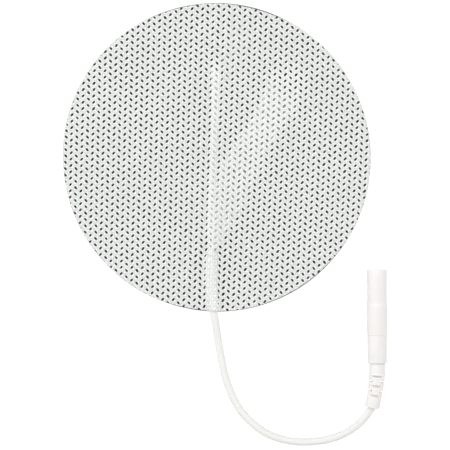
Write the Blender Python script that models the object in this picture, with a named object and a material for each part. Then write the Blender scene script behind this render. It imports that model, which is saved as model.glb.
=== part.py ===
"""Round electrotherapy electrode pad with a pigtail lead and a socket for a 2 mm pin.

The pad lies gel face down on z = 0 with its centre on the z axis. Above the gel come a carbon
film, the fanned fibres of the lead's conductor and a white knitted cover. The lead runs in under
the cover at -Y, and its other end carries a slotted strain relief and a sleeve with a tubular
contact, which lie beside the pad with the mouth towards +Y. Units are metres.
"""

import math

import bmesh
import bpy
import numpy as np
from mathutils import Matrix, Vector

CLEARANCE = 0.0001
FACE_GAP = 0.0003

PAD_RADIUS = 0.0350
PAD_SIDES = 80
GEL_THICKNESS = 0.0009
GEL_EDGE_ROUND = 0.0003
FILM_THICKNESS = 0.0001
FILM_SETBACK = 0.0001
COVER_SETBACK = 0.0003

COVER_CROWN = 0.00050
COVER_VALLEY = 0.00026
WALE_PITCH = 0.00536
STITCH_PITCH = 0.00645
WALE_LEAN = math.radians(1.98)
GAP_LENGTH = 0.0040
GAP_WIDTH = 0.0020
GAP_SLANT = math.radians(52.0)
YARN_WIDTH = 0.0009

FIBRE_THICKNESS = 0.00012
FIBRE_SPACE = 0.00022
FIBRE_SPACE_EDGE = 0.0310
FIBRE_SPACE_FALL = 0.0060
CORE_RADIUS = 0.0004
CORE_RUN = 0.0012

LEAD_DIAMETER = 0.0017
TENT_SLOPE = math.radians(56.0)
TENT_CLEARANCE = 0.00016

SLEEVE_LENGTH = 0.02127
MOUTH_SECTION = 0.0079
GRIP_SECTION = 0.0070
MOUTH_DIAMETER = 0.00450
WAIST_DIAMETER = 0.00438
GRIP_DIAMETER = 0.00464
GRIP_TAPER = 0.00010
TAIL_DIAMETER = 0.00440
TAIL_TAPER = 0.00010
SLEEVE_ROUND = 0.00022
SLEEVE_PLACE = (0.03645, -0.04680)
SLEEVE_LEAN = math.radians(0.3)
MOUTH_FUNNEL = 0.0005
TURNED_SIDES = 24

PIN_DIAMETER = 0.0020
PIN_PLAY = 0.00006
PIN_DEPTH = 0.0110
CONTACT_WALL = 0.00030
CONTACT_RECESS = 0.0012
CONTACT_SLIT = 0.00030
SLIT_SHARE = 0.75
CRIMP_DIAMETER = 0.0016
CRIMP_LENGTH = 0.0030

SPIGOT_DIAMETER = 0.0029
SPIGOT_LENGTH = 0.0030
COLLAR_DIAMETER = 0.00358
COLLAR_LENGTH = 0.0026
COLLAR_LIP = 0.00010
RELIEF_LENGTH = 0.01010
RELIEF_END_DIAMETER = 0.00330
SLOT_START = 0.00288
SLOT_PITCH = 0.00109
SLOT_WIDTH = 0.00050
SLOT_COUNT = 5
SLOT_CORE = 0.00090
RELIEF_TURN = math.radians(15.2)
RELIEF_SAG_SHARE = 0.394
LEAD_SEAT_DEPTH = 0.0010

FILM_BASE = GEL_THICKNESS
FILM_TOP = FILM_BASE + FILM_THICKNESS
FILM_RADIUS = PAD_RADIUS - FILM_SETBACK
COVER_RADIUS = PAD_RADIUS - COVER_SETBACK
LEAD_RADIUS = LEAD_DIAMETER / 2
LEAD_IN_PAD = FILM_TOP + LEAD_RADIUS + CLEARANCE
LEAD_ON_FLOOR = LEAD_RADIUS + 0.00002
SLEEVE_RADIUS = max(MOUTH_DIAMETER, GRIP_DIAMETER, TAIL_DIAMETER) / 2
CONTACT_RADIUS = PIN_DIAMETER / 2 + PIN_PLAY + CONTACT_WALL
STEP_HEIGHT = SPIGOT_LENGTH + FACE_GAP + CRIMP_LENGTH

# The lead's centre line from its cut end under the cover to the strain relief.
LEAD_ROUTE = [
    (-0.0012, -0.0240, LEAD_IN_PAD),
    (-0.0012, -0.0279, LEAD_IN_PAD),
    (-0.0009, -0.0317, LEAD_IN_PAD),
    (-0.0005, -0.0356, LEAD_IN_PAD),
    (0.0001, -0.0394, 0.00156),
    (0.0007, -0.0432, 0.00102),
    (0.0014, -0.0470, LEAD_ON_FLOOR),
    (0.0023, -0.0507, LEAD_ON_FLOOR),
    (0.0037, -0.0543, LEAD_ON_FLOOR),
    (0.0056, -0.0576, LEAD_ON_FLOOR),
    (0.0082, -0.0604, LEAD_ON_FLOOR),
    (0.0113, -0.0626, LEAD_ON_FLOOR),
    (0.0149, -0.0640, LEAD_ON_FLOOR),
    (0.0187, -0.0646, LEAD_ON_FLOOR),
    (0.0225, -0.0645, LEAD_ON_FLOOR),
    (0.0263, -0.0638, 0.00090),
    (0.0298, -0.0623, 0.00108),
    (0.0328, -0.0600, 0.00138),
]
LEAD_SPACING = 2.0 * LEAD_DIAMETER

# Borders of the conductor's fibres on the film. Near the lead they lie together, and each row
# gives the left border, the line between the strand and the fan, and the right border.
JOINED_ROWS = [
    ((-0.00150, -0.0221), (-0.00090, -0.0221), (-0.00050, -0.0220)),
    ((-0.00145, -0.0180), (-0.00060, -0.0178), (0.00180, -0.0172)),
    ((-0.00135, -0.0120), (-0.00040, -0.0118), (0.00430, -0.0128)),
    ((-0.00125, -0.0046), (-0.00035, -0.0045), (0.00760, -0.0068)),
]
# Beyond the fork each row gives a left and a right border.
STRAND_ROWS = [
    ((-0.00115, 0.0015), (-0.00030, 0.0015)),
    ((-0.00110, 0.0080), (0.00020, 0.0080)),
    ((-0.00120, 0.0206), (0.00090, 0.0206)),
]
FAN_ROWS = [
    ((0.00310, 0.0018), (0.01070, 0.0000)),
    ((0.00740, 0.0076), (0.01500, 0.0072)),
    ((0.01060, 0.0140), (0.01820, 0.0122)),
    ((0.01260, 0.0178), (0.01940, 0.0144)),
]
STRAND_RIBS = 2
FAN_RIBS = 6
JOINED_STATIONS = 7
FORKED_STATIONS = 8


def clear_scene():
    for obj in list(bpy.data.objects):
        bpy.data.objects.remove(obj, do_unlink=True)


def make_material(name, color, roughness, metallic=0.0, transmission=0.0):
    material = bpy.data.materials.new(name)
    material.use_nodes = True
    shader = material.node_tree.nodes["Principled BSDF"]
    shader.inputs["Base Color"].default_value = (*color, 1.0)
    shader.inputs["Roughness"].default_value = roughness
    shader.inputs["Metallic"].default_value = metallic
    shader.inputs["Transmission Weight"].default_value = transmission
    return material


def add_object(name, data, material=None):
    obj = bpy.data.objects.new(name, data)
    bpy.context.scene.collection.objects.link(obj)
    if material:
        data.materials.append(material)
    return obj


def mesh_from(bm, name, sharp_angle=math.radians(35.0)):
    """Closes a bmesh into a mesh with outward normals, smooth except across sharp edges."""
    bmesh.ops.recalc_face_normals(bm, faces=bm.faces[:])
    mesh = bpy.data.meshes.new(name)
    bm.to_mesh(mesh)
    bm.free()
    mesh.shade_smooth()
    mesh.set_sharp_from_angle(angle=sharp_angle)
    return mesh


def cut_mesh(blank, cutters, operation, sharp_angle=math.radians(35.0)):
    """Cuts one mesh by others in turn, and marks the sharp edges that the cuts leave."""
    body = add_object("blank", blank)
    tools = [add_object("tool", cutter) for cutter in cutters]
    for tool in tools:
        boolean = body.modifiers.new("cut", "BOOLEAN")
        boolean.operation = operation
        boolean.object = tool
    bpy.context.view_layer.update()
    evaluated = body.evaluated_get(bpy.context.evaluated_depsgraph_get())
    mesh = bpy.data.meshes.new_from_object(evaluated)
    for helper in [body, *tools]:
        bpy.data.objects.remove(helper, do_unlink=True)
    mesh.shade_smooth()
    mesh.set_sharp_from_angle(angle=sharp_angle)
    return mesh


def turned(name, profile, sides, closed=False):
    """Turns a profile of (radius, height) points once round the z axis."""
    bm = bmesh.new()
    points = [bm.verts.new((radius, 0.0, height)) for radius, height in profile]
    edges = [bm.edges.new(pair) for pair in zip(points, points[1:])]
    if closed:
        edges.append(bm.edges.new((points[-1], points[0])))
    bmesh.ops.spin(
        bm,
        geom=points + edges,
        cent=(0.0, 0.0, 0.0),
        axis=(0.0, 0.0, 1.0),
        angle=2 * math.pi,
        steps=sides,
        use_merge=True,
    )
    bmesh.ops.remove_doubles(bm, verts=bm.verts[:], dist=1e-7)
    return mesh_from(bm, name)


def rounded_corner(radius, height, reach, start, end, steps=2):
    """Points on a quarter round of the given reach, from one angle to another in degrees."""
    angles = [math.radians(start + (end - start) * i / steps) for i in range(steps + 1)]
    return [(radius + reach * math.cos(a), height + reach * math.sin(a)) for a in angles]


def smooth_curve(points, count):
    """Evenly spaced points on the natural cubic curve through the given points."""
    points = np.asarray(points, float)
    steps = np.linalg.norm(np.diff(points, axis=0), axis=1)
    at = np.concatenate([[0.0], np.cumsum(steps)])
    rows = np.eye(len(points))
    right = np.zeros_like(points)
    slopes = np.diff(points, axis=0) / steps[:, None]
    for i in range(1, len(points) - 1):
        rows[i, i - 1 : i + 2] = steps[i - 1], 2 * (steps[i - 1] + steps[i]), steps[i]
        right[i] = 6 * (slopes[i] - slopes[i - 1])
    bends = np.linalg.solve(rows, right)

    def read(place):
        i = np.clip(np.searchsorted(at, place) - 1, 0, len(steps) - 1)
        h = steps[i][:, None]
        before = (place - at[i])[:, None]
        after = h - before
        curve = (bends[i] * after**3 + bends[i + 1] * before**3) / (6 * h)
        curve += (points[i] / h - bends[i] * h / 6) * after
        return curve + (points[i + 1] / h - bends[i + 1] * h / 6) * before

    fine = read(np.linspace(0.0, at[-1], 600))
    run = np.concatenate([[0.0], np.cumsum(np.linalg.norm(np.diff(fine, axis=0), axis=1))])
    wanted = np.linspace(0.0, run[-1], count)
    return np.stack([np.interp(wanted, run, fine[:, k]) for k in range(fine.shape[1])], axis=1)


def curve_length(points):
    return float(np.linalg.norm(np.diff(np.asarray(points), axis=0), axis=1).sum())


def sleeve_frame():
    """Places the connector: local z runs from the sleeve's tail to its mouth."""
    place = Matrix.Translation((*SLEEVE_PLACE, SLEEVE_RADIUS))
    return place @ Matrix.Rotation(SLEEVE_LEAN, 4, "Z") @ Matrix.Rotation(-math.pi / 2, 4, "X")


def bend_relief(point):
    """Bends a point of the straight relief, behind the sleeve's tail, along one circular arc."""
    x, y, z = point
    if z >= 0.0:
        return Vector(point)
    down = Vector((-math.sqrt(1 - RELIEF_SAG_SHARE**2), RELIEF_SAG_SHARE))
    across = Vector((-down.y, down.x))
    towards = x * down.x + y * down.y
    aside = x * across.x + y * across.y
    arc_radius = RELIEF_LENGTH / RELIEF_TURN
    angle = -z / arc_radius
    towards = arc_radius - (arc_radius - towards) * math.cos(angle)
    depth = -(arc_radius - (x * down.x + y * down.y)) * math.sin(angle)
    flat = down * towards + across * aside
    return Vector((flat.x, flat.y, depth))


def lead_points():
    """The lead's centre line: the route, then the bent seat in the strain relief's end."""
    seat = RELIEF_LENGTH, RELIEF_LENGTH - LEAD_SEAT_DEPTH + FACE_GAP
    entry, end = [tuple(sleeve_frame() @ bend_relief((0.0, 0.0, -s))) for s in seat]
    route = [*LEAD_ROUTE, entry]
    count = round(curve_length(route) / LEAD_SPACING) + 1
    return np.vstack([smooth_curve(route, count), end])


def distance_to_lead(x, y):
    """Distance in plan from a point to the lead's centre line, run on over the bared core."""
    points = lead_points()[:, :2]
    start = points[0] + (points[0] - points[1]) * (CORE_RUN / LEAD_SPACING)
    points = np.vstack([start, points])
    ahead = np.diff(points, axis=0)
    offset = np.array([x, y]) - points[:-1]
    share = np.clip((offset * ahead).sum(axis=1) / (ahead**2).sum(axis=1), 0.0, 1.0)
    return float(np.linalg.norm(offset - share[:, None] * ahead, axis=1).min())


def tent_steps():
    """Offsets from the lead at which the cover's fold changes: crown, shoulder and foot."""
    radius = LEAD_RADIUS + TENT_CLEARANCE
    shoulder = radius * math.sin(TENT_SLOPE)
    rise = LEAD_RADIUS + CLEARANCE + radius * math.cos(TENT_SLOPE)
    return radius, shoulder, rise, shoulder + rise / math.tan(TENT_SLOPE)


def cover_lift(x, y):
    """Height of the cover's underside above the film: over the lead, the fibres, or stuck down."""
    radius, shoulder, rise, foot = tent_steps()
    away = distance_to_lead(x, y)
    lift = 0.0
    if away < shoulder:
        lift = LEAD_RADIUS + CLEARANCE + math.sqrt(radius**2 - away**2)
    elif away < foot:
        lift = rise - (away - shoulder) * math.tan(TENT_SLOPE)
    inward = (FIBRE_SPACE_EDGE - math.hypot(x, y)) / FIBRE_SPACE_FALL
    share = min(max(inward, 0.0), 1.0)
    return max(lift, FIBRE_SPACE * share * share * (3 - 2 * share))


def make_gel_pad():
    """The hydrogel disc, with a soft rounded edge."""
    rim = PAD_RADIUS - GEL_EDGE_ROUND
    profile = [(0.0, GEL_THICKNESS)]
    profile += rounded_corner(rim, GEL_THICKNESS - GEL_EDGE_ROUND, GEL_EDGE_ROUND, 90, 0)
    profile += rounded_corner(rim, GEL_EDGE_ROUND, GEL_EDGE_ROUND, 0, -90)
    profile += [(0.0, 0.0)]
    material = make_material("hydrogel", (0.62, 0.66, 0.64), 0.25, transmission=0.5)
    return add_object("gel_pad", turned("gel_pad", profile, PAD_SIDES), material)


def make_carbon_film():
    """The conductive film between the gel and the fibres, a little smaller than the gel."""
    bm = bmesh.new()
    bmesh.ops.create_circle(bm, cap_ends=True, segments=PAD_SIDES, radius=FILM_RADIUS)
    bmesh.ops.translate(bm, verts=bm.verts[:], vec=(0.0, 0.0, FILM_BASE))
    raised = bmesh.ops.extrude_face_region(bm, geom=bm.faces[:])
    top = [item for item in raised["geom"] if isinstance(item, bmesh.types.BMVert)]
    for vert in top:
        vert.co.z = FILM_TOP
    material = make_material("carbon_film", (0.012, 0.012, 0.013), 0.55)
    return add_object("carbon_film", mesh_from(bm, "carbon_film"), material)


def gap_reach(angle, slant):
    """Distance from a gap's centre to its slanted oval rim in the given direction."""
    turn = angle - slant
    long_half = GAP_LENGTH / 2
    short_half = GAP_WIDTH / 2
    return long_half * short_half / math.hypot(
        short_half * math.cos(turn), long_half * math.sin(turn)
    )


def knit_cells():
    """Column and row of each stitch cell that the round cover reaches."""
    columns = math.ceil(COVER_RADIUS / WALE_PITCH) + 1
    rows = math.ceil(COVER_RADIUS / STITCH_PITCH) + 1
    for column in range(-columns, columns + 1):
        for row in range(-rows - 1, rows + 1):
            near_u = max(abs(column) - 0.5, 0.0) * WALE_PITCH
            near_v = max(abs(row + (column % 2) / 2) - 0.5, 0.0) * STITCH_PITCH
            if math.hypot(near_u, near_v) < COVER_RADIUS + CLEARANCE:
                yield column, row


# Corners and side middles of a cell, in half pitches from its centre.
CELL_RING = [(1, 0), (1, 1), (0, 1), (-1, 1), (-1, 0), (-1, -1), (0, -1), (1, -1)]


def knit_sheet():
    """A flat sheet of wales, with a slanted gap in each stitch and neighbouring wales staggered."""
    bm = bmesh.new()
    lean = Matrix.Rotation(-WALE_LEAN, 2)
    corners = {}
    border = {}

    def add(u, v, height):
        return bm.verts.new((*(lean @ Vector((u, v))), height))

    def corner(u_step, v_step, height):
        if (u_step, v_step) not in corners:
            u, v = u_step * WALE_PITCH / 2, v_step * STITCH_PITCH / 2
            corners[u_step, v_step] = add(u, v, height), add(u, v, 0.0)
        return corners[u_step, v_step]

    for column, row in knit_cells():
        u_step, v_step = 2 * column, 2 * row + column % 2
        slant = GAP_SLANT if column % 2 else math.pi - GAP_SLANT
        rings = {"outer": [], "floor": [], "crown": [], "under": []}
        for side, end in CELL_RING:
            height = COVER_VALLEY if side else COVER_CROWN
            top, bottom = corner(u_step + side, v_step + end, height)
            rings["outer"].append(top)
            rings["floor"].append(bottom)
            angle = math.atan2(end * STITCH_PITCH, side * WALE_PITCH)
            reach = gap_reach(angle, slant)
            for name, out, lift in (("crown", YARN_WIDTH / 2, COVER_CROWN), ("under", 0.0, 0.0)):
                u = u_step * WALE_PITCH / 2 + (reach + out) * math.cos(angle)
                v = v_step * STITCH_PITCH / 2 + (reach + out) * math.sin(angle)
                rings[name].append(add(u, v, lift))
        for i in range(8):
            j = (i + 1) % 8
            for outer, inner in (("outer", "crown"), ("crown", "under")):
                bm.faces.new((rings[outer][i], rings[outer][j], rings[inner][j], rings[inner][i]))
            floor, under = rings["floor"], rings["under"]
            bm.faces.new((floor[j], floor[i], under[i], under[j]))
            edge = frozenset((rings["outer"][i], rings["outer"][j]))
            wall = (rings["outer"][j], rings["outer"][i], floor[i], floor[j])
            border[edge] = None if edge in border else wall
    for wall in border.values():
        if wall:
            bm.faces.new(wall)
    return bm


def crease_over_lead(bm):
    """Cuts lines across the sheet along and round the lead's end, so that it can fold over it."""
    radius, shoulder, _, foot = tent_steps()
    start, rim = Vector(LEAD_ROUTE[0][:2]), Vector(LEAD_ROUTE[3][:2])
    along = (rim - start).normalized()
    across = Vector((-along.y, along.x))
    reach = foot + CORE_RUN
    offsets = [0.0, radius / 2, shoulder, foot]
    cuts = [(across, offset) for offset in offsets]
    cuts += [(across, -offset) for offset in offsets[1:]]
    cuts += [(along, -CORE_RUN - offset) for offset in offsets]
    for direction, offset in cuts:
        near = []
        for face in bm.faces:
            places = [vert.co.xy - start for vert in face.verts]
            aside = [place.dot(across) for place in places]
            beyond = max(place.dot(along) for place in places)
            if beyond > -reach and min(aside) < reach and max(aside) > -reach:
                near.append(face)
        edges = {edge for face in near for edge in face.edges}
        verts = {vert for face in near for vert in face.verts}
        bmesh.ops.bisect_plane(
            bm,
            geom=[*near, *edges, *verts],
            dist=1e-6,
            plane_co=(*(start + direction * offset), 0.0),
            plane_no=(*direction, 0.0),
        )


def make_knit_cover():
    """The knitted cover: a pierced sheet laid over the lead and fibres, then cut round."""
    bm = knit_sheet()
    crease_over_lead(bm)
    bmesh.ops.triangulate(bm, faces=bm.faces[:])
    for vert in bm.verts:
        vert.co.z += FILM_TOP + cover_lift(vert.co.x, vert.co.y)
    die = bmesh.new()
    reach = 4 * (LEAD_DIAMETER + COVER_CROWN)
    bmesh.ops.create_cone(
        die,
        cap_ends=True,
        segments=PAD_SIDES,
        radius1=COVER_RADIUS,
        radius2=COVER_RADIUS,
        depth=2 * reach,
    )
    mesh = cut_mesh(mesh_from(bm, "knit_cover"), [mesh_from(die, "round_die")], "INTERSECT")
    material = make_material("knitted_polyester", (0.83, 0.85, 0.84), 0.85)
    return add_object("knit_cover", mesh, material)


def band(left, right, ribs, stations):
    """Plan points of a band of fibres: rows from one border to the other along its length."""
    left, right = smooth_curve(left, stations), smooth_curve(right, stations)
    share = np.linspace(0.0, 1.0, 2 * ribs + 1)[None, :, None]
    return left[:, None] * (1 - share) + right[:, None] * share


def core_row(count):
    """Upper and lower points of the round core where the insulation ends."""
    x, y, z = LEAD_ROUTE[0]
    turn = (np.linspace(0.0, 1.0, count) - 0.5) * np.pi
    x = x + CORE_RADIUS * np.sin(turn)
    y = np.full(count, y + FACE_GAP)
    drop = CORE_RADIUS * np.cos(turn) + CLEARANCE / 2
    return np.stack([x, y, z + drop], axis=1), np.stack([x, y, z - drop], axis=1)


def flat_rows(plan):
    """Upper and lower points of rows of fibres on the film, with a rib along each bundle."""
    count = plan.shape[1]
    ridge = np.where(np.arange(count) % 2, 1.0, 0.5) * FIBRE_THICKNESS
    low = np.full(plan.shape[:2] + (1,), FILM_TOP)
    high = low + ridge[None, :, None]
    return list(zip(np.concatenate([plan, high], axis=2), np.concatenate([plan, low], axis=2)))


def make_conductor_fibres():
    """The lead's conductor, spread on the film and forked into a straight strand and a fan."""
    split = 2 * STRAND_RIBS
    left, middle, right = zip(*JOINED_ROWS)
    strand = band(left, middle, STRAND_RIBS, JOINED_STATIONS)
    fan = band(middle, right, FAN_RIBS, JOINED_STATIONS)
    joined = np.concatenate([strand, fan[:, 1:]], axis=1)
    strand_left, strand_right = zip((left[-1], middle[-1]), *STRAND_ROWS)
    fan_left, fan_right = zip((middle[-1], right[-1]), *FAN_ROWS)
    branches = [
        (0, split + 1, band(strand_left, strand_right, STRAND_RIBS, FORKED_STATIONS)),
        (split, joined.shape[1], band(fan_left, fan_right, FAN_RIBS, FORKED_STATIONS)),
    ]
    bm = bmesh.new()

    def add_rows(rows):
        return [([bm.verts.new(p) for p in up], [bm.verts.new(p) for p in low]) for up, low in rows]

    trunk = add_rows([core_row(joined.shape[1]), *flat_rows(joined)])
    strips = [trunk]
    for first, last, plan in branches:
        upper, lower = trunk[-1]
        fork = (upper[first:last], lower[first:last])
        strips.append([fork, *add_rows(flat_rows(plan)[1:])])
    border = {}
    for strip in strips:
        for (upper, lower), (next_upper, next_lower) in zip(strip, strip[1:]):
            for i in range(len(upper) - 1):
                top = (upper[i], upper[i + 1], next_upper[i + 1], next_upper[i])
                base = (lower[i], lower[i + 1], next_lower[i + 1], next_lower[i])
                bm.faces.new(top)
                bm.faces.new(base[::-1])
                for k in range(4):
                    ends = top[k], top[(k + 1) % 4]
                    wall = (*ends[::-1], base[k], base[(k + 1) % 4])
                    key = frozenset(ends)
                    border[key] = None if key in border else wall
    for wall in filter(None, border.values()):
        bm.faces.new(wall)
    bmesh.ops.triangulate(bm, faces=bm.faces[:])
    material = make_material("steel_fibre", (0.55, 0.56, 0.55), 0.4, metallic=0.6)
    return add_object("conductor_fibres", mesh_from(bm, "conductor_fibres"), material)


def make_lead():
    """The insulated lead, one tube from under the cover to the strain relief."""
    curve = bpy.data.curves.new("lead", "CURVE")
    curve.dimensions = "3D"
    curve.bevel_depth = LEAD_RADIUS
    curve.bevel_resolution = 2
    curve.use_fill_caps = True
    points = lead_points()
    spline = curve.splines.new("POLY")
    spline.points.add(len(points) - 1)
    for point, place in zip(spline.points, points):
        point.co = (*place, 1.0)
    material = make_material("lead_pvc", (0.86, 0.87, 0.84), 0.45)
    return add_object("lead", curve, material)


def slot_box(depth_axis, side, distance):
    """A cutter for one slot: it takes all material beyond the core on one side."""
    bm = bmesh.new()
    bmesh.ops.create_cube(bm, size=1.0)
    size = Vector((2 * COLLAR_DIAMETER, 2 * COLLAR_DIAMETER, SLOT_WIDTH))
    bmesh.ops.scale(bm, vec=size, verts=bm.verts[:])
    centre = Vector((0.0, 0.0, -distance))
    centre[depth_axis] = side * (SLOT_CORE + size[depth_axis] / 2)
    bmesh.ops.translate(bm, vec=centre, verts=bm.verts[:])
    return mesh_from(bm, "slot")


def make_strain_relief(frame, material):
    """The slotted strain relief, cut straight and then bent as it lies."""
    collar = COLLAR_DIAMETER / 2
    end = RELIEF_END_DIAMETER / 2
    seat = LEAD_RADIUS + CLEARANCE
    spigot = SPIGOT_DIAMETER / 2
    round_off = 2 * CLEARANCE
    profile = [
        (0.0, SPIGOT_LENGTH),
        (spigot - round_off, SPIGOT_LENGTH),
        (spigot, SPIGOT_LENGTH - round_off),
        (spigot, -CLEARANCE),
        (collar, -CLEARANCE),
        (collar, -COLLAR_LENGTH + 3 * COLLAR_LIP),
        (collar + COLLAR_LIP, -COLLAR_LENGTH + COLLAR_LIP),
        (collar + COLLAR_LIP, -COLLAR_LENGTH),
        (collar, -SLOT_START),
        (end, -SLOT_START - SLOT_PITCH * SLOT_COUNT),
    ]
    profile += rounded_corner(end - round_off, -RELIEF_LENGTH + round_off, round_off, 0, -90, 2)
    profile += [
        (seat, -RELIEF_LENGTH),
        (seat, -RELIEF_LENGTH + LEAD_SEAT_DEPTH),
        (0.0, -RELIEF_LENGTH + LEAD_SEAT_DEPTH),
    ]
    slots = [
        slot_box(0 if level % 2 else 1, side, SLOT_START + level * SLOT_PITCH)
        for level in range(SLOT_COUNT)
        for side in (-1, 1)
    ]
    mesh = cut_mesh(turned("strain_relief", profile, TURNED_SIDES), slots, "DIFFERENCE")
    for vert in mesh.vertices:
        vert.co = bend_relief(vert.co)
    relief = add_object("strain_relief", mesh, material)
    relief.matrix_world = frame
    return relief


def make_socket_sleeve(frame, material):
    """The stepped sleeve, bored for the contact in front and for the relief's spigot behind."""
    mouth = MOUTH_DIAMETER / 2
    waist = WAIST_DIAMETER / 2
    grip = GRIP_DIAMETER / 2
    tail = TAIL_DIAMETER / 2
    grip_base = SLEEVE_LENGTH - MOUTH_SECTION - GRIP_SECTION
    grip_top = SLEEVE_LENGTH - MOUTH_SECTION
    contact_bore = CONTACT_RADIUS + CLEARANCE
    crimp_bore = CRIMP_DIAMETER / 2 + CLEARANCE
    spigot_bore = SPIGOT_DIAMETER / 2 + CLEARANCE
    edge = SLEEVE_ROUND
    profile = rounded_corner(mouth - edge, SLEEVE_LENGTH - edge, edge, 90, 0, 3)
    profile += [
        (mouth, SLEEVE_LENGTH - MOUTH_SECTION * 0.7),
        (waist, grip_top + 3 * edge),
        (waist, grip_top + edge),
        (grip, grip_top - edge),
        (grip - GRIP_TAPER / 2, grip_base),
        (tail, grip_base),
        (tail - TAIL_TAPER / 2, 2 * edge),
    ]
    profile += rounded_corner(tail - TAIL_TAPER / 2 - 1.5 * edge, 1.5 * edge, 1.5 * edge, 0, -90, 3)
    profile += [
        (spigot_bore, 0.0),
        (spigot_bore, SPIGOT_LENGTH + FACE_GAP),
        (crimp_bore, SPIGOT_LENGTH + FACE_GAP),
        (crimp_bore, STEP_HEIGHT),
        (contact_bore, STEP_HEIGHT),
        (contact_bore, SLEEVE_LENGTH - MOUTH_FUNNEL),
        (contact_bore + MOUTH_FUNNEL / 2, SLEEVE_LENGTH),
    ]
    sleeve = add_object(
        "socket_sleeve", turned("socket_sleeve", profile, TURNED_SIDES, closed=True), material
    )
    sleeve.matrix_world = frame
    return sleeve


def make_socket_contact(frame):
    """The tubular contact: a slit tube for the pin, with a crimp barrel behind its shoulder."""
    bore = PIN_DIAMETER / 2 + PIN_PLAY
    crimp = CRIMP_DIAMETER / 2
    front = SLEEVE_LENGTH - CONTACT_RECESS
    shoulder = STEP_HEIGHT + CLEARANCE
    bore_end = max(front - PIN_DEPTH, shoulder + CONTACT_WALL)
    lead_in = CONTACT_WALL / 3
    profile = [
        (0.0, bore_end),
        (bore, bore_end),
        (bore, front - lead_in),
        (bore + lead_in, front),
        (CONTACT_RADIUS - lead_in, front),
        (CONTACT_RADIUS, front - lead_in),
        (CONTACT_RADIUS, shoulder),
        (crimp, shoulder),
        (crimp, SPIGOT_LENGTH + FACE_GAP),
        (0.0, SPIGOT_LENGTH + FACE_GAP),
    ]
    slit = bmesh.new()
    bmesh.ops.create_cube(slit, size=1.0)
    slit_length = (front - bore_end) * SLIT_SHARE
    reach = 2 * CONTACT_RADIUS
    bmesh.ops.scale(slit, vec=(CONTACT_SLIT, reach, 2 * slit_length), verts=slit.verts[:])
    bmesh.ops.translate(slit, vec=(0.0, reach / 2, front), verts=slit.verts[:])
    tube = turned("socket_contact", profile, TURNED_SIDES)
    mesh = cut_mesh(tube, [mesh_from(slit, "contact_slit")], "DIFFERENCE")
    material = make_material("nickel_brass", (0.72, 0.70, 0.66), 0.28, metallic=1.0)
    contact = add_object("socket_contact", mesh, material)
    contact.matrix_world = frame
    return contact


def main():
    clear_scene()
    make_gel_pad()
    make_carbon_film()
    make_conductor_fibres()
    make_knit_cover()
    make_lead()
    frame = sleeve_frame()
    plastic = make_material("connector_plastic", (0.88, 0.86, 0.84), 0.35)
    make_strain_relief(frame, plastic)
    make_socket_sleeve(frame, plastic)
    make_socket_contact(frame)


main()
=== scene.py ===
import logging
import math
from dataclasses import dataclass, field
from enum import Enum

import bmesh
import bpy
import numpy as np
from mathutils import Matrix


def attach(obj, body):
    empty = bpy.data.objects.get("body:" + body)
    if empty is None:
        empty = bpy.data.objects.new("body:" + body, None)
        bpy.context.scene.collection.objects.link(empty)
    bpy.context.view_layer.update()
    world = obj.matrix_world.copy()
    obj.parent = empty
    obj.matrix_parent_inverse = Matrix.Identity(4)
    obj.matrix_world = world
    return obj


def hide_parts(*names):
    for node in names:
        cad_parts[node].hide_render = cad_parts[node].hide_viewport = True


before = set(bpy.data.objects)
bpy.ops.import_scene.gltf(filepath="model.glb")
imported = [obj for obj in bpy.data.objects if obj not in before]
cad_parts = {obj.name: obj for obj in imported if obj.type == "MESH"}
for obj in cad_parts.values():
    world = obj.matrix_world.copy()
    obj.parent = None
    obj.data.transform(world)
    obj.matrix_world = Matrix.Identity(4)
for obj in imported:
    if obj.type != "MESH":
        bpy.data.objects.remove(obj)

MM = 0.001
ROOT = "root"
FILM_TOP = 1.0 * MM
LEAD_RADIUS = 0.85 * MM
STITCH_SLANT = math.radians(52)
ROUTE_SAMPLES = 900
# Where a Mix node has the colours that it blends, and the blend.
MIX_FROM, MIX_TO, MIX_RESULT = 6, 7, 2
log = logging.getLogger("electrode_pad")


class Wale(Enum):
    """Which way the stitches of a column slant, seen from above."""

    RISING = 1
    FALLING = -1


class SlotFacing(Enum):
    """The sides of the strain relief that a slot opens on, as the angle of its depth."""

    SIDES = 0.0
    TOP_AND_UNDERSIDE = math.pi / 2


def linear(code: str) -> tuple[float, float, float, float]:
    """Turns an sRGB hex colour to linear light.

    A channel c is c / 12.92 up to 0.04045 and ((c + 0.055) / 1.055) ^ 2.4 above.

    Args:
        code: six hex digits, red first.

    Returns:
        The linear colour with full alpha.
    """
    channels = [int(code[i : i + 2], 16) / 255 for i in (0, 2, 4)]
    bright = [c / 12.92 if c <= 0.04045 else ((c + 0.055) / 1.055) ** 2.4 for c in channels]
    return bright[0], bright[1], bright[2], 1.0


def set_up(tree: bpy.types.NodeTree, node: bpy.types.Node, settings: dict, links: dict) -> None:
    """Gives a node its settings and links.

    Args:
        tree: the node tree.
        node: the node.
        settings: properties and input values by name, or by number for an input.
        links: the output socket that feeds each named or numbered input.
    """
    for name, value in settings.items():
        if isinstance(name, str) and hasattr(node, name):
            setattr(node, name, value)
        else:
            node.inputs[name].default_value = value
    for name, socket in links.items():
        tree.links.new(socket, node.inputs[name])


def add_node(tree: bpy.types.NodeTree, kind: str, settings: dict, links: dict) -> bpy.types.Node:
    """Adds one node.

    Args:
        tree: the node tree.
        kind: the node's type name.
        settings: its properties and input values, as set_up takes them.
        links: the sockets that feed its inputs, as set_up takes them.

    Returns:
        The node.
    """
    node = tree.nodes.new(kind)
    set_up(tree, node, settings, links)
    return node


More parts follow.
